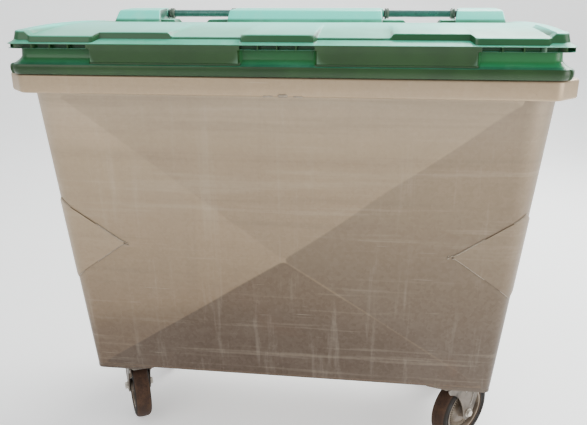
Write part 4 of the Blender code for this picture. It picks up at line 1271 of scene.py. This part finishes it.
def make_lid():
    """Lid shell with hinge blocks, and the ribs, bosses and tabs that belong to it."""
    lid_piece("lid_shell", lid_mesh(), 32, ["lid"])
    ribs = Heap()
    rear = LID_FRONT + LID_LENGTH - 0.004
    web = [(rear, RIM_TOP + 0.0838), (BLOCK_REAR - 0.003, RIM_TOP + 0.0838),
           (BLOCK_REAR - 0.003, RIM_TOP + 0.092), (rear, RIM_TOP + 0.092)]
    for label, low, high in BLOCKS:
        make_block(label, low, high)
        inner_low = low + 0.012
        inner_high = high - 0.012
        count = max(2, int((inner_high - inner_low) / 0.055))
        for k in range(count + 1):
            x = mix(inner_low, inner_high, k / count)
            ribs.add(plate_shape(web, x - 0.0013, x + 0.0013, "x"))
    # Seven ribs under the crown, each a strip that follows it.
    end = LID_LENGTH - 0.06
    for k in range(1, 8):
        x = mix(-0.53, 0.53, k / 8)
        over = [mix(0.050, LID_LENGTH - 0.048, j / 24) for j in range(25)]
        under = [mix(end, 0.062, j / 12) for j in range(1, 13)]
        outline = [(y, lid_height(x, y) - 0.0025) for y in over]
        outline.append((end, lid_height(x, end) - 0.013))
        outline += [(y, lid_height(x, y) - 0.015) for y in under]
        ribs.add(plate_shape(outline, x - 0.0014, x + 0.0014, "x", (0.0, LID_FRONT, RIM_TOP)))
    lid_piece("lid_ribs", ribs.mesh("lid_ribs"), 30)
    bosses = Heap()
    boss = [(-0.006, 0.0117), (-0.006, 0.0155), (0.0012, 0.0155), (0.0022, 0.0146), (0.0022, 0.0117)]
    for sign in (-1, 1):
        for edge, out in ((GAP_INNER, 1), (GAP_OUTER + 0.026, -1)):
            bosses.add(lathe(boss, 32, (sign * edge, HINGE.y, HINGE.z), (sign * out, 0, 0)))
    lid_piece("lid_bosses", bosses.mesh("lid_bosses"), 40)
    # Low tabs in the gaps, beside the blocks.
    tabs = Heap()
    y0 = LID_FRONT + 0.552
    for sign in (-1, 1):
        for near, far in ((GAP_INNER - 0.003, 0.282), (GAP_OUTER + 0.010, 0.388)):
            slope = 0.009 if far > near else -0.009
            rings = []
            for x, lift in ((near, 0.0925), (far, 0.0920), (far + 0.6 * slope, 0.0875),
                            (far + slope, 0.0795)):
                rings.append([Vector((sign * x, y0 + u, RIM_TOP + min(v, lift))) for u, v in
                              ((0.0, 0.0740), (0.0, 0.0845), (0.006, lift), (0.060, lift - 0.0006),
                               (0.072, lift - 0.0050), (0.080, 0.0800), (0.080, 0.0740))])
            tabs.add(loft(rings))
    rounded(lid_piece("lid_tabs", tabs.mesh("lid_tabs"), 40), 0.0018)


# ---------------------------------------------------------------- hinge hardware
OUTER_EAR = 0.4385
ROD_RADIUS = 0.0105


def make_hinges():
    """In each gap of the lid: a bracket with two ears, its bolts, a rod and two collars."""
    face = MIDDLE_Y + HALF_DEPTH + 0.0004
    ear = [(face, RIM_TOP - 0.040), (face, HINGE.z - 0.034), (HINGE.y - 0.015, HINGE.z - 0.006)]
    ear += arc(0.016, 200, -40, 16, (HINGE.y, HINGE.z))
    ear += [(face + 0.009, HINGE.z - 0.040), (face + 0.009, RIM_TOP - 0.040)]
    strap = [(face, RIM_TOP - 0.040), (face + 0.004, RIM_TOP - 0.040), (face + 0.004, RIM_TOP + 0.017),
             (face, RIM_TOP + 0.017)]
    axis = (0, HINGE.y, HINGE.z)
    for side, sign in (("left", -1), ("right", 1)):
        low, high = sorted((sign * (GAP_INNER + 0.006), sign * OUTER_EAR))
        bracket = Heap()
        for start in (low, high - 0.005):
            bracket.add(plate_shape(ear, start, start + 0.005, "x"))
        bracket.add(plate_shape(strap, low + 0.002, high - 0.002, "x"))
        rounded(zinc_piece("bracket_" + side, bracket, HINGE_STEEL, "container",
                           ["hinge_bracket_" + side]), 0.0009, 2)
        bolts = Heap()
        for share in (0.22, 0.78):
            centre = Vector((mix(low, high, share), face + 0.004, RIM_TOP - 0.018))
            bolts.add(hexagon_bolt(centre, REARWARD, 0.0085, 0.0055, 0.0115))
        zinc_piece("bracket_bolts_" + side, bolts, BRIGHT, "container")
        # The rod has chamfered ends and is a little uneven.
        rod_low = low - 0.034
        rod_high = high + 0.034
        profile = [(rod_low, ROD_RADIUS - 0.002), (rod_low + 0.002, ROD_RADIUS)]
        cuts = 40
        for k in range(1, cuts):
            along = mix(rod_low + 0.002, rod_high - 0.002, k / cuts)
            profile.append((along, ROD_RADIUS + 0.00012 * noise.noise(Vector((along * 40, sign * 3.0, 0)))))
        profile += [(rod_high - 0.002, ROD_RADIUS), (rod_high, ROD_RADIUS - 0.002)]
        rod = Heap().add(solid_lathe(profile, 40, axis, RIGHTWARD))
        zinc_piece("rod_" + side, rod, ROD_STEEL, "container", ["hinge_rod_" + side], 40)
        # A collar with a set screw inside each ear.
        bore = ROD_RADIUS + 0.0003
        wall = bore + 0.0028
        for start, nearer in ((low + 0.0053, sign > 0), (high - 0.0133, sign < 0)):
            collar = Heap()
            collar.add(lathe([(start, bore), (start, wall), (start + 0.0008, bore + 0.0036),
                              (start + 0.0072, bore + 0.0036), (start + 0.008, wall),
                              (start + 0.008, bore)], 40, axis, RIGHTWARD))
            seat = Vector((start + 0.004, HINGE.y, HINGE.z + ROD_RADIUS + 0.0037))
            collar.add(hexagon_bolt(seat, UP, 0.0026, 0.0016))
            name = "hinge_collar_" + side + "_" + ("inner" if nearer else "outer")
            zinc_piece("ring_" + name, collar, HINGE_STEEL, "container", [name], 35)


# ---------------------------------------------------------------- floor and drain
def make_floor():
    """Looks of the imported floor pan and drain, with swages, welds and a grip on the bung."""
    low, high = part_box("floor_pan")
    for node, finish in (("floor_pan", FLOOR_STEEL), ("drain_collar", ZINC), ("drain_bung", BUNG_RUBBER)):
        dress(node, finish)
    swages = Heap()
    for k in range(5):
        x = mix(low.x + 0.16, high.x - 0.16, k / 4)
        if abs(x) < 0.06:
            x = 0.075
        outline = [(x + 0.010 * math.cos(a), 0.0035 * math.sin(a))
                   for a in (math.pi * j / 8 for j in range(9))]
        swages.add(plate_shape(outline, low.y + 0.05, high.y - 0.05, "y", (0.0, 0.0, high.z - 0.0005)))
    piece("floor_swages", swages.mesh("floor_swages"), FLOOR_STEEL, "container",
          smooth=40)
    seam = Heap()
    z = high.z + 0.0005
    for seed, sign in enumerate((-1, 1), 300):
        y = MIDDLE_Y + sign * (high.y - MIDDLE_Y - 0.001)
        x = sign * (high.x - 0.001)
        seam.add(bead([(low.x + 0.02, y, z), (high.x - 0.02, y, z)], 0.0016, seed))
        seam.add(bead([(x, low.y + 0.02, z), (x, high.y - 0.02, z)], 0.0016, seed + 9))
    weld_piece("floor_welds", seam)
    bung_low, bung_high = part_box("drain_bung")
    x = (bung_low.x + bung_high.x) / 2
    y = (bung_low.y + bung_high.y) / 2
    loop = []
    for k in range(13):
        a = math.pi * k / 12
        loop.append((x + 0.013 * math.cos(a), y, bung_high.z - 0.001 + 0.015 * math.sin(a)))
    grip = Heap().add(bead(loop, 0.0022, 401, 10, 0.02))
    piece("bung_grip", grip.mesh("bung_grip"), BRIGHT, "drain_bung", smooth=60)


def dress(node, finish):
    """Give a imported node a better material."""
    thing = frame["nodes"][node]
    thing.data.materials.clear()
    thing.data.materials.append(finish)


# ---------------------------------------------------------------- casters
PAD_INNER_X = 0.372
FORK_HALF_GAP = 0.0285
LEG = 0.004
AXLE_EYE = 0.021
# Outlines of a wheel's centre and tyre as (along the axle, radius).
WHEEL_CENTRE = mirrored([(-0.0275, 0.0066), (-0.0275, 0.0165), (-0.0262, 0.0185), (-0.0150, 0.0205),
                         (-0.0125, 0.0230), (-0.0110, 0.0390), (-0.0095, 0.0540), (-0.0070, 0.0600),
                         (-0.0150, 0.0632), (-0.0195, 0.0650), (-0.0204, 0.0668), (-0.0200, 0.0695)])
TREAD = mirrored([(-0.0200, 0.0697), (-0.0218, 0.0712), (-0.0224, 0.0745), (-0.0214, 0.0770),
                  (-0.0226, 0.0800), (-0.0232, 0.0850), (-0.0228, 0.0900), (-0.0205, 0.0945),
                  (-0.0170, 0.0975), (-0.0125, 0.0992), (-0.0060, 0.0999), (-0.0012, 0.1000),
                  (-0.0006, 0.0996)])


def caster_frame(corner):
    """Matrix from a caster's own frame (trail along +X) to the row frame, trail, axle height."""
    pivot = Vector(JOINTS["swivel_" + corner]["pos_m"])
    wheel = Vector(JOINTS["wheel_spin_" + corner]["pos_m"])
    heading = math.atan2(wheel.y - pivot.y, wheel.x - pivot.x)
    trail = (wheel.xy - pivot.xy).length
    matrix = Matrix.Translation((pivot.x, pivot.y, 0)) @ Matrix.Rotation(heading, 4, "Z")
    return matrix, trail, wheel.z


def make_pads():
    """Pressed pads that stiffen the corners over the casters."""
    for corner in CORNERS:
        low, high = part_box("caster_pad_" + corner)
        sign = 1 if corner.endswith("right") else -1
        way = 1 if corner.startswith("front") else -1
        inner = PAD_INNER_X
        outer = max(abs(low.x), abs(high.x))
        edge_y = low.y if way > 0 else high.y
        deep = high.y - low.y
        curve = 0.016
        path = [(inner, 0.0), (inner + 0.045, 0.0)]
        path += arc(curve, -90, 0, 6, (outer - curve, curve))
        path += [(outer, deep), (inner + 0.045, deep), (inner, deep)]
        rings = []
        for z, shrink in ((high.z, 0.0), (low.z + 0.002, 0.0), (low.z + 0.0006, 0.0006), (low.z, 0.002)):
            ring = []
            for px, py in path:
                x = mix(px, (inner + outer) / 2, shrink / 0.08)
                y = mix(py, deep / 2, shrink / 0.08)
                depth = (high.z - z) * (0.25 if px < inner + 0.01 else 1.0)
                ring.append(Vector((sign * x, edge_y + way * y, high.z - depth)))
            rings.append(ring)
        name = "caster_pad_" + corner
        piece("pad_" + corner, mesh_of(name, *loft(rings)), STEEL, "container",
              [name], 30)


def fork_outline(trail, axle_z, crown_z, braked):
    """(x, z) outline of a fork leg; a braked one is deeper where its pedal turns."""
    if braked:
        leg = [(-0.052, crown_z - 0.006), (-0.0525, 0.190), (-0.050, 0.1835), (-0.034, 0.1765),
               (-0.016, 0.1690), (-0.002, 0.1600), (0.008, 0.1490), (0.0145, 0.1360)]
    else:
        leg = [(-0.0505, crown_z - 0.0045), (-0.042, 0.1935), (-0.030, 0.1885), (-0.017, 0.1800),
               (-0.006, 0.1695), (0.003, 0.1570), (0.0105, 0.1430), (0.0155, 0.1310)]
    leg = [(-0.050, crown_z - 0.001), *leg, (0.0190, 0.1200)]
    leg += arc(AXLE_EYE, 178, 360.4, 12, (trail, axle_z))
    leg += [(0.0720, 0.1140), (0.0790, 0.1320), (0.0832, 0.1500), (0.0840, 0.1680), (0.0825, 0.1840),
            (0.0760, crown_z - 0.004), (0.0700, crown_z - 0.001)]
    return leg


def make_top_plate(corner, centre):
    """Plate with rounded corners, four bolts and a pressed ring below."""
    low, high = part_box("caster_plate_" + corner)
    half_x = (high.x - low.x) / 2
    half_y = (high.y - low.y) / 2
    curve = 0.012
    outline = []
    for turn, sign_x, sign_y in ((0, 1, 1), (90, -1, 1), (180, -1, -1), (270, 1, -1)):
        outline += arc(curve, turn, turn + 90, 5, (sign_x * (half_x - curve), sign_y * (half_y - curve)))
    plate = Heap().add(plate_shape(outline, low.z, high.z, "z", centre))
    plate.add(solid_lathe([(low.z - 0.0002, 0.036), (low.z + 0.001, 0.041)], 48, centre, UP))
    rounded(zinc_piece("top_plate_" + corner, plate, ZINC, "container", ["caster_plate_" + corner]),
            0.0008, 2)
    bolts = Heap()
    for sign_x, sign_y in QUARTERS:
        place = centre + Vector((sign_x * (half_x - 0.014), sign_y * (half_y - 0.014), low.z))
        bolts.add(hexagon_bolt(place, DOWN, 0.0080, 0.0060, 0.0105))
    zinc_piece("plate_bolts_" + corner, bolts, BRIGHT, "container")


def make_race(corner, centre):
    """Ball race: two pressed cups with a dark seal between them, and the kingpin's bolt."""
    race_low, race_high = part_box("ball_race_" + corner)
    low = race_low.z
    tall = race_high.z - low
    cups = Heap()
    cups.add(lathe([(low, 0.010), (low, 0.0290), (low + 0.0015, 0.0335), (low + tall * 0.40, 0.0360),
                    (low + tall * 0.44, 0.0350), (low + tall * 0.44, 0.010)], 56, centre, UP))
    cups.add(lathe([(low + tall * 0.54, 0.010), (low + tall * 0.54, 0.0370), (low + tall * 0.60, 0.0380),
                    (low + tall * 0.85, 0.0378), (low + tall, 0.0340), (low + tall, 0.010)], 56,
                   centre, UP))
    zinc_piece("race_cups_" + corner, cups, BRIGHT, "container", ["ball_race_" + corner], 35)
    seal = Heap().add(lathe([(low + tall * 0.42, 0.012), (low + tall * 0.42, 0.0335),
                             (low + tall * 0.56, 0.0345), (low + tall * 0.56, 0.012)], 48, centre, UP))
    piece("race_seal_" + corner, seal.mesh("race_seal"), BUNG_RUBBER, "container", smooth=35)
    pin_low, pin_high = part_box("kingpin_" + corner)
    pin = hexagon_bolt(centre + Vector((0, 0, pin_low.z + 0.0062)), DOWN, 0.0090, 0.0058)
    pin.add(solid_lathe([(pin_low.z + 0.005, 0.006), (pin_high.z, 0.006)], 28, centre, UP))
    zinc_piece("kingpin_bolt_" + corner, pin, BRIGHT, "container", ["kingpin_" + corner])


def make_fork(corner, matrix, trail, axle_z):
    """Fork: two legs with pressed ribs, and a crown with rounded shoulders; then the axle."""
    swivel = "swivel_" + corner
    crown_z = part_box("fork_" + corner)[1].z
    outline = fork_outline(trail, axle_z, crown_z, corner.startswith("rear"))
    fork = Heap()
    for low, high in ((-FORK_HALF_GAP - LEG, -FORK_HALF_GAP), (FORK_HALF_GAP, FORK_HALF_GAP + LEG)):
        fork.add(plate_shape(outline, low, high, "y"))
    crown = []
    for k in range(40):
        a = 2 * math.pi * k / 40
        c, s = math.cos(a), math.sin(a)
        x = 0.010 + (0.061 if c > 0 else 0.062) * (abs(c) ** 0.55) * (1 if c > 0 else -1)
        y = (FORK_HALF_GAP + 0.002) * (abs(s) ** 0.35) * (1 if s > 0 else -1)
        crown.append((x, y))
    fork.add(plate_shape(crown, crown_z - 0.005, crown_z - 0.0002, "z")).moved(matrix)
    rounded(zinc_piece("fork_shell_" + corner, fork, ZINC, swivel, ["fork_" + corner]), 0.0016, 3, 40)
    pressings = Heap()
    for sign in (-1, 1):
        face = sign * (FORK_HALF_GAP + LEG)
        rib = [(x, face - sign * 0.0006, z) for x, z in
               ((0.066, 0.196), (0.064, 0.170), (0.058, 0.140), (0.052, 0.124))]
        pressings.add(bead(rib, 0.0024, 500, 10, 0.02))
        slot_line = [(x, face + sign * 0.0002, z) for x, z in ((0.024, 0.178), (0.036, 0.184))]
        pressings.add(bead(slot_line, 0.0042, 501, 12, 0.0))
    zinc_piece("fork_pressings_" + corner, pressings.moved(matrix), ZINC, swivel, smooth=50)
    seat = FORK_HALF_GAP + LEG + 0.0002
    axle = Heap()
    axle.add(hexagon_bolt((trail, -seat, axle_z), FORWARD, 0.0098, 0.0066, 0.0125))
    axle.add(hexagon_bolt((trail, seat, axle_z), REARWARD, 0.0098, 0.0074, 0.0125))
    axle.add(solid_lathe([(-seat, 0.0059), (seat, 0.0059)], 28, (trail, 0, axle_z), REARWARD))
    zinc_piece("axle_bolt_" + corner, axle.moved(matrix), BRIGHT, swivel, ["axle_" + corner])


def make_wheel(corner, matrix, axle):
    """Wheel: a centre with a ribbed dish, and a crowned tyre with shoulder grooves."""
    body = "wheel_" + corner
    hub = Heap().add(lathe(WHEEL_CENTRE, 72, axle, REARWARD))
    teeth = 44
    for k in range(teeth):
        a = 2 * math.pi * k / teeth
        out = Vector((math.cos(a), 0, math.sin(a)))
        across = Vector((-math.sin(a), 0, math.cos(a)))
        for sign in (-1, 1):
            rings = []
            for r, tip in ((0.0400, 0.0100), (0.0425, 0.0135), (0.0510, 0.0142), (0.0540, 0.0106)):
                wide = 0.022 * r
                rings.append([axle + out * r + across * du * wide + Vector((0, sign * dw, 0))
                              for du, dw in ((-1.0, 0.006), (1.0, 0.006), (0.6, tip), (-0.6, tip))])
            hub.add(loft(rings))
    zinc_piece("wheel_centre_" + corner, hub.moved(matrix), HUB, body, ["wheel_hub_" + corner], 35)
    tyre = Heap().add(lathe(TREAD, 112, axle, REARWARD)).moved(matrix)
    # The tread is a little uneven.
    draw = random.Random(CORNERS.index(corner) + 11)
    shift = Vector((draw.uniform(0, 9), 0, 0))
    centre = matrix @ axle
    for p in tyre.points:
        out = p - centre
        if out.length > 0.093:
            p -= out.normalized() * 0.0007 * abs(noise.noise(p * 40 + shift))
    thing = piece("tyre_" + corner + "_tread", tyre.mesh("tyre_tread"), TYRE, body,
                  ["tyre_" + corner], 35)
    thing.data.materials.append(SIDEWALL)
    sideways = (matrix.to_3x3() @ Vector(REARWARD)).normalized()
    for face in thing.data.polygons:
        if abs(face.normal.dot(sideways)) > 0.75:
            face.material_index = 1


def make_casters():
    """Four swivel casters; the rear ones have brakes."""
    for corner in CORNERS:
        matrix, trail, axle_z = caster_frame(corner)
        low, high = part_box("caster_plate_" + corner)
        centre = Vector(((low.x + high.x) / 2, (low.y + high.y) / 2, 0))
        make_top_plate(corner, centre)
        make_race(corner, centre)
        make_fork(corner, matrix, trail, axle_z)
        make_wheel(corner, matrix, Vector((trail, 0, axle_z)))
        if corner.startswith("rear"):
            make_brake(corner, matrix)


def make_brake(corner, matrix):
    """Brake pedal with a ribbed tread, and its pivot bolt on the fork."""
    pivot = Vector((-0.040, 0, 0.190))
    outline = [(-0.062, -0.0095), (-0.0655, -0.0070), (-0.0655, -0.0035), (-0.061, 0.0003),
               (-0.030, 0.0042), (-0.006, 0.0078), (-0.001, 0.0080), (0.0035, 0.0062), (0.0060, 0.0020),
               (0.0060, -0.0030), (0.0020, -0.0170), (-0.0020, -0.0285), (-0.0045, -0.0294),
               (-0.0068, -0.0290), (-0.0076, -0.0260), (-0.0080, -0.0075), (-0.0110, -0.0045),
               (-0.0300, -0.0060)]
    half = FORK_HALF_GAP - 0.0018
    pedal = Heap().add(plate_shape(outline, -half, half, "y", pivot))
    for k in range(6):
        x = -0.058 + 0.007 * k
        z = mix(0.0003, 0.0042, (x + 0.061) / 0.031)
        rib = [(x, z - 0.001), (x + 0.003, z - 0.0006), (x + 0.0026, z + 0.0018), (x + 0.0004, z + 0.0015)]
        pedal.add(plate_shape(rib, -half + 0.004, half - 0.004, "y", pivot))
    rounded(zinc_piece("pedal_" + corner, pedal.moved(matrix), ZINC, "brake_" + corner,
                       ["brake_pedal_" + corner]), 0.0009, 2, 45)
    pins = Heap()
    for sign in (-1, 1):
        place = pivot + Vector((0, sign * (FORK_HALF_GAP + LEG), 0))
        pins.add(hexagon_bolt(place, (0, sign, 0), 0.0055, 0.0035, 0.0075))
    zinc_piece("pedal_pins_" + corner, pins.moved(matrix), BRIGHT, "swivel_" + corner)


# ---------------------------------------------------------------- stage, light and camera
def make_stage():
    """A pale floor that curves up into a wall behind."""
    size = 9.0
    back = 3.2
    curve = 1.6
    outline = [(-7.0, 0.0), *arc(curve, -90, 0, 12, (back, curve)), (back + curve, 7.0)]
    mesh = grid_mesh("studio_floor", [[Vector((x, y, z)) for y, z in outline] for x in (-size, size)])
    mesh.shade_smooth()
    n = Nodes("studio_floor")
    n.colour = n.mix(n.noise(1.5, 3.0), (0.90, 0.90, 0.90, 1), (0.93, 0.93, 0.93, 1))
    mesh.materials.append(n.finish(0.85, Emission_Color=(1, 1, 1, 1), Emission_Strength=0.42))
    floor = bpy.data.objects.new("studio_floor", mesh)
    bpy.context.scene.collection.objects.link(floor)


def area_light(name, place, target, size, power, colour, size_y=None):
    """A rectangular lamp that looks at its target."""
    data = bpy.data.lights.new(name, "AREA")
    data.shape = "RECTANGLE"
    data.size = size
    data.size_y = size_y or size
    data.energy = power
    data.color = colour
    lamp = bpy.data.objects.new(name, data)
    bpy.context.scene.collection.objects.link(lamp)
    lamp.location = place
    lamp.rotation_euler = (Vector(target) - Vector(place)).to_track_quat("-Z", "Y").to_euler()


def make_light():
    """Pale sky with a large lamp above and behind, a warm key and a fill from the right."""
    world = bpy.data.worlds.new("studio")
    world.use_nodes = True
    bpy.context.scene.world = world
    back = world.node_tree.nodes["Background"]
    back.inputs["Color"].default_value = (0.92, 0.95, 0.97, 1)
    back.inputs["Strength"].default_value = 0.85
    area_light("sky", (1.6, 1.8, 3.1), (0.1, 0, 0.9), 3.4, 270, (0.97, 1.0, 0.98), 2.4)
    area_light("key", (-2.4, -3.4, 3.4), (0, 0, 0.7), 3.4, 70, (1.0, 0.97, 0.94))
    area_light("fill", (3.4, -1.3, 1.3), (0, 0, 0.9), 2.0, 56, (1.0, 0.99, 0.97))


CAMERA_PLACE = Vector((0.1998, -1.706, 1.2334))
CAMERA_YAW = math.radians(7.0)
CAMERA_PITCH = math.radians(19.5)
CAMERA_ROLL = math.radians(-0.2)
FOCAL_PIXELS = 635.9
PICTURE_WIDTH = 587


def make_camera():
    """The photograph's camera, solved from the rim, the body's edges and the wheels."""
    data = bpy.data.cameras.new("camera")
    camera = bpy.data.objects.new("camera", data)
    bpy.context.scene.collection.objects.link(camera)
    forward = Vector((-math.sin(CAMERA_YAW) * math.cos(CAMERA_PITCH),
                      math.cos(CAMERA_YAW) * math.cos(CAMERA_PITCH), -math.sin(CAMERA_PITCH)))
    right = Vector((math.cos(CAMERA_YAW), math.sin(CAMERA_YAW), 0))
    up = right.cross(forward)
    turned_right = right * math.cos(CAMERA_ROLL) + up * math.sin(CAMERA_ROLL)
    turned_up = up * math.cos(CAMERA_ROLL) - right * math.sin(CAMERA_ROLL)
    matrix = Matrix((turned_right, turned_up, -forward)).transposed().to_4x4()
    matrix.translation = CAMERA_PLACE
    camera.matrix_world = matrix
    data.sensor_width = 36.0
    data.lens = FOCAL_PIXELS / PICTURE_WIDTH * data.sensor_width
    data.clip_end = 60
    bpy.context.scene.camera = camera


make_camera()
make_panels()
make_gussets()
make_rim()
make_lid()
make_hinges()
make_floor()
make_pads()
make_casters()
make_stage()
make_light()
